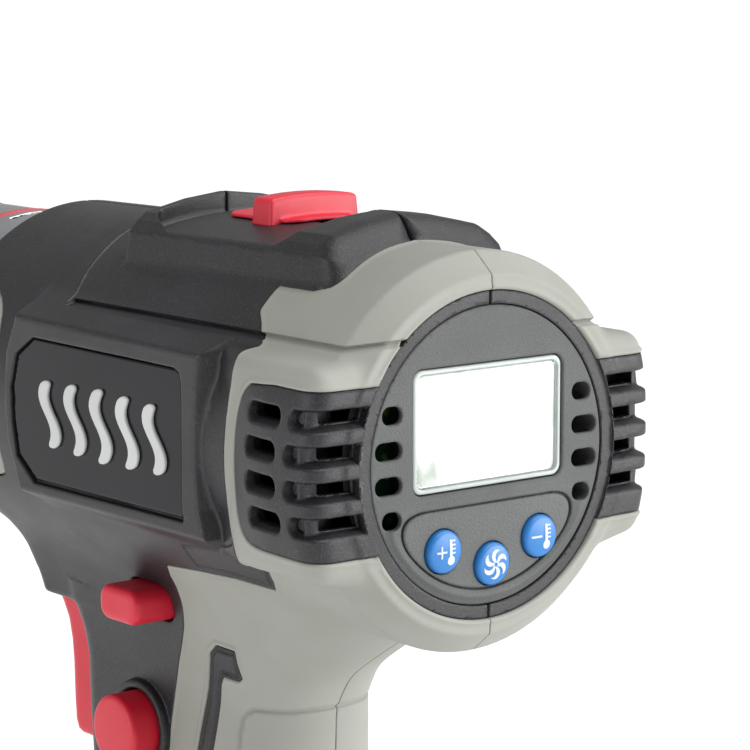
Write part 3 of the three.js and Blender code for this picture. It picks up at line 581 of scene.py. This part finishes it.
def mesh_object(name, points, tris, quads, normals, material):
    """A mesh with its faces turned outwards."""
    if volume(points, tris, quads) < 0:
        tris, quads = tris[:, ::-1], quads[:, ::-1]
    mesh = bpy.data.meshes.new(name)
    mesh.vertices.add(len(points))
    mesh.vertices.foreach_set("co", place(points).astype(F).ravel())
    corners = np.concatenate([quads.ravel(), tris.ravel()]).astype(np.int32)
    mesh.loops.add(len(corners))
    mesh.loops.foreach_set("vertex_index", corners)
    starts = np.concatenate([np.arange(len(quads)) * 4, len(quads) * 4 + np.arange(len(tris)) * 3])
    mesh.polygons.add(len(starts))
    mesh.polygons.foreach_set("loop_start", starts.astype(np.int32))
    mesh.polygons.foreach_set("use_smooth", np.ones(len(starts), bool))
    mesh.update(calc_edges=True)
    if normals is not None:
        mesh.normals_split_custom_set_from_vertices(normals.astype(F))
    mesh.materials.append(material)
    obj = bpy.data.objects.new(name, mesh)
    bpy.context.scene.collection.objects.link(obj)
    return obj


def piece(name, field, low, high, step, material, body="body", nodes=(), adapt=0.02):
    """The surface of a field within the box from low to high, as a piece of the visual."""
    obj = mesh_object(name, *surface(field, low, high, step, adapt), material)
    return settle(obj, body, nodes)


def settle(obj, body="body", nodes=()):
    """Hangs the piece on the body it rides on, and hides the CAD nodes it stands for."""
    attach(obj, body)
    if nodes:
        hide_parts(*nodes)
    return obj


def ring_quads(rings, following, sides):
    """Quads that join each numbered ring of points to the one that follows it."""
    i, k = rings[:, None], following[:, None]
    j = np.arange(sides)
    m = (j + 1) % sides
    return np.stack([i * sides + j, i * sides + m, k * sides + m, k * sides + j], -1).reshape(-1, 4)


def lathe(name, profile, sides, material, nodes=()):
    """A closed profile of (x, radius) points turned round the barrel's axis, with sharp corners."""
    n = len(profile)
    turn = np.arange(sides) * (2 * math.pi / sides)
    along, radius = np.array(profile, float).T
    ring = np.stack([np.repeat(along[:, None], sides, 1), radius[:, None] * np.cos(turn),
                     radius[:, None] * np.sin(turn)], -1)
    quads = ring_quads(np.arange(n), np.arange(1, n + 1) % n, sides)
    obj = mesh_object(name, ring.reshape(-1, 3), np.zeros((0, 3), int), quads, None, material)
    obj.data.set_sharp_from_angle(angle=math.radians(30))
    return settle(obj, "body", nodes)


def helix(start, length, radius, turns, height):
    """The path of a coil along X, with its axis at that height."""
    t = np.linspace(0, 1, turns * 40)
    a = t * turns * 2 * math.pi
    return np.stack([start + t * length, radius * np.cos(a), height + radius * np.sin(a)], 1)


def wire(name, path, radius, sides, material, body="body", nodes=()):
    """A round wire of that radius along a path of points, with closed ends."""
    along = np.gradient(path, axis=0)
    along /= np.linalg.norm(along, axis=1, keepdims=True)
    side = np.cross(along, [1.0, 0.13, 0.07])
    side /= np.linalg.norm(side, axis=1, keepdims=True)
    up = np.cross(along, side)
    turn = np.arange(sides) * (2 * math.pi / sides)
    rings = (path[:, None] + radius * (side[:, None] * np.cos(turn)[None, :, None]
                                       + up[:, None] * np.sin(turn)[None, :, None]))
    points = np.concatenate([rings.reshape(-1, 3), path[:1], path[-1:]])
    i = np.arange(len(path) - 1)
    quads = ring_quads(i, i + 1, sides)
    j = np.arange(sides)
    m = (j + 1) % sides
    last = (len(path) - 1) * sides
    caps = np.concatenate([np.stack([m, j, 0 * j + len(points) - 2], 1),
                           np.stack([last + j, last + m, 0 * j + len(points) - 1], 1)])
    obj = mesh_object(name, points, caps, quads, None, material)
    return settle(obj, body, nodes)


# ---- materials ----
def srgb(code):
    """A colour from its sRGB code, in the linear values that a shader takes."""
    values = [int(code[i:i + 2], 16) / 255 for i in (0, 2, 4)]
    return tuple(v / 12.92 if v <= 0.04045 else ((v + 0.055) / 1.055) ** 2.4 for v in values) + (1.0,)


class Nodes:
    """A material's node tree, with short calls for the nodes it uses."""

    def __init__(self, name):
        self.material = bpy.data.materials.new(name)
        self.material.use_nodes = True
        self.tree = self.material.node_tree
        self.shader = self.tree.nodes["Principled BSDF"]
        self.coordinates = self.tree.nodes.new("ShaderNodeTexCoord").outputs["Object"]

    def link(self, a, b):
        self.tree.links.new(a, b)

    def node(self, kind, **values):
        """A new node with those values, keyed by input name with _ for a space."""
        node = self.tree.nodes.new("ShaderNode" + kind)
        for key, value in values.items():
            node.inputs[key.replace("_", " ")].default_value = value
        return node

    def noise(self, scale, detail=2.0, rough=0.5, stretch=None):
        node = self.node("TexNoise", Scale=scale, Detail=detail, Roughness=rough)
        source = self.coordinates
        if stretch:
            mapping = self.node("Mapping", Scale=stretch)
            self.link(source, mapping.inputs["Vector"])
            source = mapping.outputs["Vector"]
        self.link(source, node.inputs["Vector"])
        return node.outputs["Fac"]

    def cells(self, scale):
        node = self.node("TexVoronoi", Scale=scale)
        self.link(self.coordinates, node.inputs["Vector"])
        return node.outputs["Distance"]

    def ramp(self, value, low, high, a, b):
        """From low to high in value, the result goes from a to b."""
        node = self.node("MapRange", From_Min=low, From_Max=high, To_Min=a, To_Max=b)
        self.link(value, node.inputs["Value"])
        return node.outputs["Result"]

    def mix(self, factor, a, b):
        node = self.node("Mix")
        node.data_type = "RGBA"
        self.link(factor, node.inputs["Factor"])
        # sockets 6 and 7 and output 2 are the ones for colours
        for socket, value in ((node.inputs[6], a), (node.inputs[7], b)):
            if isinstance(value, tuple):
                socket.default_value = value
            else:
                self.link(value, socket)
        return node.outputs[2]

    def combine(self, operation, a, b):
        node = self.node("Math")
        node.operation = operation
        self.link(a, node.inputs[0])
        self.link(b, node.inputs[1])
        return node.outputs[0]

    def bump(self, height, distance, strength):
        node = self.node("Bump", Distance=distance, Strength=strength)
        self.link(height, node.inputs["Height"])
        return node.outputs["Normal"]


def plastic(name, dark, light, rough, grain=2600.0, depth=0.03, strength=0.35, painted_glints=0.0, wear=0.0,
            specular=0.5):
    """Moulded plastic: slow colour drift, fine grain, roughness that varies a little and painted glints.
    depth is in mm.
    """
    n = Nodes(name)
    drift = n.noise(28.0, 3.0)
    fine = n.noise(grain, 2.0, 0.6)
    colour = n.mix(n.ramp(drift, 0.35, 0.65, 0.0, 1.0), srgb(dark), srgb(light))
    # painted glints: pale flecks mixed into the colour, standing for the sparkle of light on the grain
    if painted_glints:
        painted_glint = n.ramp(n.noise(grain * 0.9, 1.0), 0.55, 0.8, 0.0, painted_glints)
        colour = n.mix(painted_glint, colour, srgb("b8b8be"))
    if wear:
        scuff = n.ramp(n.noise(90.0, 6.0, 0.7, (1.0, 1.0, 3.0)), 0.6, 0.8, 0.0, wear)
        colour = n.mix(scuff, colour, srgb("d8d6cf"))
    n.link(colour, n.shader.inputs["Base Color"])
    n.link(n.ramp(n.combine("ADD", n.noise(60.0, 4.0), fine), 0.7, 1.3, rough - 0.07, rough + 0.07),
           n.shader.inputs["Roughness"])
    n.link(n.bump(fine, depth * MM, strength), n.shader.inputs["Normal"])
    n.shader.inputs["Specular IOR Level"].default_value = specular
    return n.material


def metal(name, dark, light, rough, brushed=(1.0, 1.0, 1.0)):
    """Metal with faint smudges, and streaks that are long where brushed is small."""
    n = Nodes(name)
    streaks = n.noise(900.0, 3.0, 0.6, brushed)
    smudge = n.noise(45.0, 4.0, 0.6)
    n.link(n.mix(n.ramp(smudge, 0.3, 0.7, 0.0, 1.0), srgb(dark), srgb(light)), n.shader.inputs["Base Color"])
    n.link(n.ramp(n.combine("ADD", smudge, streaks), 0.6, 1.4, rough - 0.06, rough + 0.1),
           n.shader.inputs["Roughness"])
    n.link(n.bump(streaks, 0.004 * MM, 0.5), n.shader.inputs["Normal"])
    n.shader.inputs["Metallic"].default_value = 1.0
    return n.material


def lens_material():
    """Clear glass with a sheen that grows towards its grazing angles."""
    n = Nodes("display_glass")
    clear = n.node("BsdfTransparent", Color=(0.97, 0.985, 0.975, 1.0))
    gloss = n.node("BsdfGlossy")
    n.link(n.ramp(n.noise(60.0, 3.0), 0.3, 0.7, 0.02, 0.07), gloss.inputs["Roughness"])
    facing = n.node("LayerWeight", Blend=0.5)
    sheen = n.ramp(facing.outputs["Facing"], 0.2, 1.0, 0.04, 0.6)
    blend = n.node("MixShader")
    n.link(sheen, blend.inputs[0])
    n.link(clear.outputs[0], blend.inputs[1])
    n.link(gloss.outputs[0], blend.inputs[2])
    n.link(blend.outputs[0], n.tree.nodes["Material Output"].inputs["Surface"])
    n.tree.nodes.remove(n.shader)
    return n.material


def screen_material():
    """A pale screen with a painted reflection: a soft grey-green shading at its lower left."""
    n = Nodes("screen_white")
    axes = n.node("SeparateXYZ")
    n.link(n.coordinates, axes.inputs[0])
    # painted reflection: grey-green shading that grows towards the left and the bottom, broken up by noise
    left = n.ramp(axes.outputs["Y"], 0.008, 0.0195, 0.0, 1.0)
    low = n.ramp(axes.outputs["Z"], HEAD[2] + 0.006, HEAD[2] - 0.007, 0.0, 1.0)
    corner = n.combine("MULTIPLY", left, low)
    painted_reflection = n.combine("ADD", corner, n.ramp(n.noise(190.0, 3.0), 0.3, 0.7, -0.5, 0.3))
    colour = n.mix(n.ramp(painted_reflection, 0.0, 0.9, 0.0, 1.0), srgb("fafbf8"), srgb("7e8c7f"))
    n.link(colour, n.shader.inputs["Base Color"])
    n.link(n.ramp(n.noise(200.0), 0.3, 0.7, 0.2, 0.3), n.shader.inputs["Roughness"])
    return n.material


def board_material():
    """A green circuit board with paler cells. Its dark green is partly painted shade, for the shaded inside
    of the housing.
    """
    n = Nodes("circuit_board")
    tracks = n.ramp(n.cells(420.0), 0.25, 0.35, 0.0, 1.0)
    # the dark green is partly the board's own colour and partly painted shade inside the housing
    n.link(n.mix(tracks, srgb("5c6a3c"), srgb("0c3a24")), n.shader.inputs["Base Color"])
    n.link(n.ramp(n.noise(300.0), 0.3, 0.7, 0.3, 0.5), n.shader.inputs["Roughness"])
    n.link(n.bump(tracks, 0.02 * MM, 0.6), n.shader.inputs["Normal"])
    return n.material


BLACK = plastic("black_plastic", "19181b", "201f23", 0.43, grain=3000.0, depth=0.09, strength=0.9, painted_glints=0.08)
GREY_RUBBER = plastic("grey_rubber", "92938b", "9a9b94", 0.6, grain=3600.0, depth=0.02, strength=0.3,
                      wear=0.03, specular=0.35)
PANEL_PLASTIC = plastic("panel_plastic", "4a4c4b", "525453", 0.55, grain=2400.0, depth=0.12, strength=0.9,
                        painted_glints=0.05, specular=0.45)
KEYPAD = plastic("keypad_plastic", "525453", "5a5c5b", 0.54, grain=1900.0, depth=0.16, strength=0.9,
                 painted_glints=0.05, specular=0.45)
RED_PLASTIC = plastic("red_plastic", "cd1a31", "d6233b", 0.42, grain=3200.0, depth=0.012, strength=0.2)
BLUE = plastic("blue_key", "2270b6", "2a78be", 0.34, grain=2400.0, depth=0.012, strength=0.2)
ICON_WHITE = plastic("icon_white", "c9d4e0", "d6dfe8", 0.4, grain=2400.0, depth=0.01)
BADGE_GLOSS = plastic("badge_gloss", "0c0b12", "121117", 0.16, grain=1400.0, depth=0.004, strength=0.12,
                      specular=0.25)
MARK_GREY = plastic("mark_grey", "c0c2c1", "cacccb", 0.45, grain=2800.0, depth=0.015, strength=0.2)
DEEP_BLACK = plastic("deep_black", "0d0c0f", "121114", 0.5, grain=2600.0, depth=0.02, strength=0.3)
# pale glass edge: partly the glass's own green tint, partly a painted highlight along the lens's edge
RIM_GLASS = plastic("rim_glass", "aeb6b2", "bfc7c3", 0.12, grain=900.0, depth=0.003, strength=0.1)
PALE = plastic("pale_plastic", "dcd9d0", "e8e6df", 0.5)
STEEL = metal("steel", "a9abad", "c9cbcd", 0.22, brushed=(0.3, 3.0, 3.0))
DARK_STEEL = metal("dark_steel", "6b6d70", "8b8d90", 0.4)
RED_PAINT = plastic("red_paint", "c81f30", "d62b3c", 0.3, grain=1800.0, depth=0.01)
HEATER_WIRE = metal("heater_wire", "8a4f28", "c07a44", 0.42)
MICA = plastic("mica", "b9ab86", "d2c7a6", 0.6, grain=700.0, depth=0.05)
BOARD = board_material()
LENS = lens_material()
SCREEN = screen_material()

# ---- the shells ----
SHELL_STEP = 0.36
REACH_ACROSS = {"left": (-1, 48.5), "right": (-48.5, 1)}  # where each half lies, across the tool
for side, field in (("left", housing_left), ("right", housing_right)):
    near, far = REACH_ACROSS[side]
    piece("shell_" + side, field, (-2, near, -192), (152, far, 50), SHELL_STEP, BLACK,
          nodes=["housing_" + side])
for side, field in (("left", overmould), ("right", overmould_right)):
    near, far = REACH_ACROSS[side]
    piece("grip_rubber_" + side, field, (-1, near, -192), (94, far, 50), SHELL_STEP, GREY_RUBBER,
          nodes=["overmould_" + side])


def front_pad(x, y, z):
    o = outer(x, np.abs(y), z)
    d = smax(o + 0.05, poly(x, z, FRONT_PAD), 0.8)
    return cut(d, o + SKIN)


for side, near, far in (("left", 30, 44), ("right", -44, -30)):
    piece("front_pad_%s_skin" % side, front_pad, (124, near, -22), (146, far, 26), 0.35, GREY_RUBBER,
          nodes=["front_pad_" + side])


# ---- badges: a glossy plate with raised heat waves ----
BADGE_PLATE = (41.75, 42.8)  # how far out its two faces lie
MARK = (42.7, 43.6)  # the same for the strokes on it


def badge(x, y, z):
    return smax(poly(x, z, BADGE), span(np.abs(y), *BADGE_PLATE), 0.3)


WAVES = 5
WAVE_PITCH = 10.2
WAVE_LENGTH = 17
WAVE_SWING = 2.4


def heat_waves(x, y, z):
    """Upright wavy strokes side by side, the middle one the longest."""
    def stroke(k):
        centre = 58 + k * WAVE_PITCH
        bend = x - centre - WAVE_SWING * np.sin(z * (2 * math.pi / WAVE_LENGTH))
        return rect(bend * 0.8, z, 1.5, 8.2 - 0.35 * abs(k - 2), 1.4)
    return smax(reduce(either, map(stroke, range(WAVES))), span(np.abs(y), *MARK), 0.4)


for side, near, far in (("left", 41, 44), ("right", -44, -41)):
    piece("badge_plate_" + side, badge, (46, near, -18), (116, far, 19), 0.25, BADGE_GLOSS,
          nodes=["badge_" + side])
    piece("heat_waves_" + side, heat_waves, (50, near, -10), (108, far, 10), 0.22, MARK_GREY)


# ---- rear panel, keypad, keys and display ----
WINDOW = (0.0, 6.45, 20.2, 12.95)  # middle y and z, half width, half height
KEY_R = 4.5
KEYS = {"key_temp_up": (12.35, -18.5), "key_fan": (-0.75, -22.75), "key_temp_down": (-13.7, -18.6)}
# Height, distance from the middle and half length of each pair of vents.
PANEL_VENTS = ((10.8, 25.5, 2.5), (3.65, 26.4, 3.4), (-3.46, 26.4, 3.4), (-10.65, 25.6, 2.4))


def window(y, z, grow, r):
    """The display window's outline, grown all round, with corners of radius r."""
    return rect(y - WINDOW[0], z - WINDOW[1], WINDOW[2] + grow, WINDOW[3] + grow, r)


PANEL_R = 31.1
PANEL_DEPTH = 2.6
KEYPAD_R = 27.9
KEYPAD_TOP = -9.7


def keypad_outline(y, z):
    r = np.hypot(y, z)
    return smax(r - KEYPAD_R, z - KEYPAD_TOP, 9.0)


def rear_panel(x, y, z):
    """The round panel with its skirt, and openings for the keypad, the window, the vents and the keys."""
    r = np.hypot(y, z)
    inset = keypad_outline(y, z)
    rim = -0.45 * soft(inset - 1.35, 0.9) * np.clip((-9 - z) * 0.3, 0, 1)
    d = smax(r - PANEL_R, span(x, 0, PANEL_DEPTH) + rim * (x < 1.2), 0.45)
    d = either(d, both(np.abs(r - 30.2) - 0.8, span(x, 2, 11)))
    d = cut(d, both(inset, x - 0.9), 0.3)
    d = cut(d, window(y, z, 0.0, 2.5), 0.5)
    for vz, vy, half in PANEL_VENTS:
        d = cut(d, rect(np.abs(y) - vy, z - vz, half, 1.85, 1.8), 0.4)
        recess = rect(np.abs(y) - vy, z - vz, half + 1.2, 2.7, 1.8)
        d = cut(d, both(recess, both(span(x, 1.1, 2.8), r - 29.2)))
    for ky, kz in KEYS.values():
        d = both(d, KEY_R + 0.3 - np.hypot(y - ky, z - kz))
    return d


def keypad_sheet(x, y, z):
    d = smax(keypad_outline(y, z) + 0.35, span(x, -0.05, 0.85), 0.5)
    for ky, kz in KEYS.values():
        d = smax(d, KEY_R + 0.2 - np.hypot(y - ky, z - kz), 0.4)
    return d


piece("panel_face", rear_panel, (-1, -32, -32), (7.5, 32, 32), 0.26, PANEL_PLASTIC,
      nodes=["rear_panel"], adapt=0.01)
piece("keypad_skin", keypad_sheet, (-1, -29, -29), (1.6, 29, -8), 0.2, KEYPAD,
      nodes=["keypad_sheet"], adapt=0.01)


def dome(y, z):
    """Where a key's domed face lies along X."""
    return -1.5 + (y * y + z * z) * (1 / 42)


def key_field(ky, kz):
    """A domed key with a flange that stays behind the panel."""
    def field(x, y, z):
        y, z = y - ky, z - kz
        reach = np.hypot(y, z)
        d = smax(reach - KEY_R, dome(y, z) - x, 0.9)
        return either(both(d, x - 3.2), both(reach - 5.7, span(x, 2.8, 3.8)))
    return field


def thermometer(u, v):
    """A bulb, a stem and four marks beside it."""
    bulb = np.hypot(u - 1.1, v + 1.75) - 0.98
    d = either(bulb, rect(u - 1.0, v - 0.45, 0.36, 2.2, 0.3))
    for k in range(4):
        d = either(d, rect(u - 1.65, v + 0.25 - 0.85 * k, 0.65, 0.17, 0.1))
    return d


def plus_icon(u, v):
    bar = either(rect(u + 1.35, v - 0.1, 1.3, 0.22, 0.1), rect(u + 1.35, v - 0.1, 0.22, 1.3, 0.1))
    return either(bar, thermometer(u, v))


def minus_icon(u, v):
    return either(rect(u + 1.6, v - 0.1, 1.4, 0.24, 0.1), thermometer(u, v))


BLADES = 6


def fan_icon(u, v):
    """Curved blades, each the sliver between two circles."""
    def blade(k):
        a = k * (2 * math.pi / BLADES) + 0.2
        p = u * math.cos(a) + v * math.sin(a)
        q = v * math.cos(a) - u * math.sin(a)
        return both(np.hypot(p - 1.75, q - 0.35) - 1.35, 1.22 - np.hypot(p - 1.75, q + 0.55))
    return reduce(either, map(blade, range(BLADES)))


def icon_field(ky, kz, outline):
    """A sign that stands a little proud of its key's dome."""
    def field(x, y, z):
        y, z = y - ky, z - kz
        height = x - dome(y, z)
        return smax(outline(-y, z), span(height, -0.13, 0.2), 0.08)
    return field


for node, body, outline in (("key_temp_up", "key_up", plus_icon), ("key_fan", "key_fan", fan_icon),
                            ("key_temp_down", "key_down", minus_icon)):
    ky, kz = KEYS[node]
    piece(node + "_cap", key_field(ky, kz), (-2, ky - 6, kz - 6), (4.4, ky + 6, kz + 6), 0.16, BLUE,
          body, [node])
    piece(node + "_icon", icon_field(ky, kz, outline), (-1.8, ky - 3.6, kz - 3.6), (0.2, ky + 3.6, kz + 3.6),
          0.07, ICON_WHITE, body, adapt=0.005)


def lens(x, y, z):
    return smax(window(y, z, -1.35, 1.6), span(x, 0.2, 0.9), 0.3)


def lens_rim(x, y, z):
    d = smax(window(y, z, -0.22, 2.3), span(x, 0.15, 2.4), 0.7)
    return cut(d, both(window(y, z, -1.25, 1.7), x - 1.8), 0.3)


def screen(x, y, z):
    return smax(window(y, z, -1.4, 1.4), span(x, 1.0, 1.7), 0.2)


def screen_back(x, y, z):
    d = smax(rect(y, z - 6.2, 20.6, 13.6, 1.2), span(x, 3.2, 7.0), 0.4)
    return either(d, both(rect(y, z - 6.5, 18, 11, 0.8), span(x, 2.6, 3.4)))


piece("lens_glass", lens, (0, -21, -8), (2, 21, 21), 0.25, LENS, nodes=["display_lens"])
# the lens's edge, its paleness partly a painted highlight
piece("lens_rim", lens_rim, (-0.5, -21, -8), (3, 21, 21), 0.22, RIM_GLASS)
piece("screen_plate", screen, (0.5, -21, -8), (2.2, 21, 21), 0.25, SCREEN)
piece("screen_module", screen_back, (2, -22, -9), (8, 22, 21), 0.35, DEEP_BLACK,
      nodes=["display_module"])


# ---- controls ----
def slider(x, y, z):
    """A knob across a thin plate, both curved like the saddle, with a stem down to the switch."""
    top = 49.8 - y * y * (1 / 170)
    drop = y * y * SADDLE_CURVE
    ends = np.abs(x - 61.6) - 3.5 + 0.05 * (z - SADDLE_FLOOR)
    sides = np.abs(y) - 12.2 + 0.08 * (z - SADDLE_FLOOR)
    knob = smax(smax(ends, sides, 0.8), z - top, 1.0)
    knob = both(knob, 43.9 - drop - z)
    plate = smax(rect(x - 66.5, y, 12.5, 9.4, 4.0), z - (44.95 - drop), 0.4)
    plate = both(plate, 44.25 - drop - z)
    stem = both(rect(x - 61.5, y, 2.5, 2.8, 0.4), span(z, 37.6, 45))
    return either(smin(knob, plate, 0.5), stem)


piece("slider_knob", slider, (52, -14, 36), (80, 14, 52), 0.25, RED_PLASTIC, "mode_slider",
      ["top_slider"])

# The trigger seen from the left side: x and z.
TRIGGER_SIDE = [
    (113, -52.3), (155.6, -52.3), (156.2, -54.8), (154, -57.6), (151.8, -61.1), (150.5, -66), (149.9, -71.3),
    (149.6, -80.6), (149.2, -86.1), (148, -88.5), (146, -89.2), (113, -89.2)]
TRIGGER_HALF = 7.8  # half its width


def trigger(x, y, z):
    """The trigger, with a bore behind it for its spring."""
    side = poly(x + 0.055 * y * y, z, TRIGGER_SIDE)
    d = smax(side, np.abs(y) - TRIGGER_HALF, 2.2)
    pocket = both(np.hypot(y, z - SPRING_Z) - 4.4, x - 132)
    return cut(d, pocket)


piece("trigger_blade", trigger, (111, -9, -91), (158, 9, -51), 0.3, RED_PLASTIC, "trigger",
      ["trigger"])


LOCK_R = 8.5
LOCK_FACE = 27.6  # how far out the middle of its face lies


def lock_button(x, y, z):
    """A round cap with a stem behind it."""
    reach = np.hypot(x - LOCK[0], z - LOCK[1])
    cap = smax(smax(reach - LOCK_R, y - LOCK_FACE + reach * reach * 0.004, 1.3), 15.4 - y, 0.4)
    return either(cap, both(reach - 3.8, span(y, 10.4, 16)))


piece("lock_cap", lock_button, (89, 9, -86), (109, 29, -65), 0.26, RED_PLASTIC, "lock_button",
      ["lock_button"])


def selector_bar(x, y, z):
    return smax(selector_outline(x, z), span(y, -24, 30.6), 2.0)


piece("selector_cap", selector_bar, (84, -25, -49), (101, 32, -38), 0.26, RED_PLASTIC,
      "selector", ["selector_bar"])


# ---- steel sleeve and nozzle ----
SLEEVE_SLOTS = 8
BAND = (173.6, 176.2)  # the groove for the red band, along X
# The sleeve's outer radius: x, and the radius at each.
SLEEVE = ([140, 200, 214, 220], [37.1, 37.1, 21.2, 19.6])


def sleeve(x, y, z):
    """A thin tube that narrows at its front, with slots all round and a groove for the red band."""
    r = np.hypot(y, z)
    cone = np.interp(x, *SLEEVE).astype(F)
    lean = np.where((x > 200) & (x < 214), F(0.66), F(1))  # turns the radial distance into a true one
    d = both(np.abs((r - cone + 0.5) * lean) - 0.5, span(x, 141, 220))
    turn = np.arctan2(z, y) * (SLEEVE_SLOTS / (2 * math.pi))
    off = (turn - np.round(turn)) * (2 * math.pi / SLEEVE_SLOTS) * r
    slot = rect(off, x - 169, 9.5, 1.2, 1.1)
    d = cut(d, np.where(r > 30, slot, F(9)), 0.3)
    return cut(d, both(span(x, *BAND), 36.9 - r), 0.2)


piece("sleeve_shell", sleeve, (140, -38.4, -38.4), (221, 38.4, 38.4), 0.4, STEEL,
      nodes=["heat_sleeve"])
lathe("sleeve_band", [(173.8, 37.0), (174.0, 37.35), (175.8, 37.35), (176.0, 37.0)], 128, RED_PAINT,
      ["sleeve_ring"])
lathe("nozzle_pipe", [(120.3, 17), (120.3, 21), (121.6, 21), (121.6, 18), (249.4, 18), (250, 17.6),
                      (250, 17.3), (249.6, 17)], 128, STEEL, ["nozzle_tube"])
lathe("mica_liner", [(123, 15.6), (123, 16.4), (232, 16.4), (232, 15.6)], 96, MICA, ["mica_tube"])
wire("coil_wire", helix(127, 96, 13.6, 16, 0), 0.55, 8, HEATER_WIRE, nodes=["heater_coil"])
wire("spring_wire", helix(111, 20.4, 3.4, 6, SPRING_Z), 0.4, 8, DARK_STEEL, "trigger",
     ["trigger_spring"])


def gland(x, y, z):
    """The cord's gland: a flange under the grip and a bored neck inside it."""
    r = np.hypot(x - GLAND_X, y)
    d = smax(r - 9.4, span(z, GRIP_BASE, -187), 0.6)
    d = smin(d, both(r - 7.4, span(z, -189, -176)), 0.4)
    return smax(d, 4.5 - r, 0.8)


piece("gland_ring", gland, (74, -10.4, -191), (94.4, 10.4, -175), 0.3, DEEP_BLACK,
      nodes=["cord_gland"])


# ---- screws ----
SCREW_HEAD_Y = -15.0
SCREW_LENGTH = 24
SCREW_HEAD_R = 2.85
SCREW_R = 1.5
CROSS = (1.7, 0.32)  # half length and half width of each slot of the cross
THREAD_PITCH = 1.2
THREAD_DEPTH = 0.28


def screw_field(x, y, z):
    """A cross-head screw along Y with its head at y = 0."""
    r = np.hypot(x, z)
    head = smax(r - SCREW_HEAD_R, span(y, 0, 2), 0.7)
    cross = either(rect(x, z, *CROSS, 0.1), rect(z, x, *CROSS, 0.1))
    head = cut(head, both(cross, y - 1.1), 0.15)
    phase = y / THREAD_PITCH - np.arctan2(z, x) * (1 / (2 * math.pi))
    thread = THREAD_DEPTH * np.abs(phase - np.round(phase)) * 2
    shank = both((r - SCREW_R + thread) * 0.8, span(y, 1.5, SCREW_LENGTH))
    return either(head, both(shank, (r + (y - SCREW_LENGTH) * 0.6) * 0.85))


template = surface(screw_field, (-3.4, -0.8, -3.4), (3.4, 25, 3.4), 0.16, 0.02)
for number, (sx, sz) in enumerate(SCREWS, 1):
    moved = template[0] + np.array([sx, SCREW_HEAD_Y, sz])
    made = mesh_object("shell_screw_%d" % number, moved, *template[1:], DARK_STEEL)
    settle(made, nodes=["housing_screw_%d" % number])

# ---- finishes for the CAD nodes that still show ----
FINISHES = [
    (BOARD, "control_board", "power_board"),
    (DEEP_BLACK, "fan_duct", "fan_impeller", "motor_end_cap", "motor_bracket", "slider_switch",
     "trigger_switch"),
    (DARK_STEEL, "rotor_shaft", "nozzle_flange", "thermocouple", "board_screw_top", "board_screw_left",
     "board_screw_right", "clamp_screw_rear", "clamp_screw_front"),
    (STEEL, "motor_can"),
    (MICA, "heater_former"),
    (PALE, "suppressor_capacitor", "terminal_block", "cord_clamp")]
for finish, *names in FINISHES:
    for name in names:
        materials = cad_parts[name].data.materials
        materials.clear()
        materials.append(finish)

# ---- floor, light and camera ----
def floor_material():
    n = Nodes("floor_white")
    n.link(n.mix(n.noise(3.0), srgb("fbfbfb"), srgb("ffffff")), n.shader.inputs["Base Color"])
    n.shader.inputs["Roughness"].default_value = 0.95
    n.shader.inputs["Specular IOR Level"].default_value = 0.0
    return n.material


lowest = min(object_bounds()[0][2], START_BOUNDS[0][2])
FLOOR = 30.0  # half the floor's side, in metres
floor_mesh = bpy.data.meshes.new("floor")
floor_mesh.from_pydata([(-FLOOR, -FLOOR, lowest), (FLOOR, -FLOOR, lowest), (FLOOR, FLOOR, lowest),
                        (-FLOOR, FLOOR, lowest)], [], [(0, 1, 2, 3)])
floor = bpy.data.objects.new("floor", floor_mesh)
bpy.context.scene.collection.objects.link(floor)
floor_mesh.materials.append(floor_material())

scene = bpy.context.scene
world = bpy.data.worlds.new("studio")
world.use_nodes = True
world.node_tree.nodes["Background"].inputs["Color"].default_value = (1.0, 1.0, 1.0, 1.0)
world.node_tree.nodes["Background"].inputs["Strength"].default_value = 0.42
scene.world = world
scene.view_settings.view_transform = "Standard"

AIM = (-0.05, 0.0, 0.1)  # where the softboxes point, in metres


def lamp(name, at, size, power):
    """A softbox, placed in metres in the part's frame."""
    data = bpy.data.lights.new(name, "AREA")
    data.shape = "RECTANGLE"
    data.size, data.size_y = size
    data.energy = power
    obj = bpy.data.objects.new(name, data)
    obj.location = at
    obj.rotation_euler = (Vector(AIM) - Vector(at)).to_track_quat("-Z", "Y").to_euler()
    scene.collection.objects.link(obj)


def sun(name, direction, strength, angle):
    """A far light that comes from that direction and is that many degrees wide."""
    data = bpy.data.lights.new(name, "SUN")
    data.energy = strength
    data.angle = math.radians(angle)
    obj = bpy.data.objects.new(name, data)
    obj.rotation_euler = Vector(direction).to_track_quat("Z", "Y").to_euler()
    scene.collection.objects.link(obj)


sun("overhead", (-0.35, -0.35, 0.87), 2.3, 60)
lamp("right_softbox", (-1.3, -1.15, 0.35), (1.2, 0.9), 24.0)
lamp("left_softbox", (0.2, 1.6, 0.45), (1.2, 0.9), 7.0)

CAMERA_MM = (-444.88, 386.73, 108.30)
LOOK = (0.77085, -0.61820, -0.15378)
camera_data = bpy.data.cameras.new("camera")
camera_data.lens = 140.2
camera_data.sensor_width = 36.0
camera_data.clip_end = 200.0
camera = bpy.data.objects.new("camera", camera_data)
camera.location = tuple(place(np.array(CAMERA_MM)))
camera.rotation_euler = Vector(LOOK).to_track_quat("-Z", "Y").to_euler()
scene.collection.objects.link(camera)
scene.camera = camera
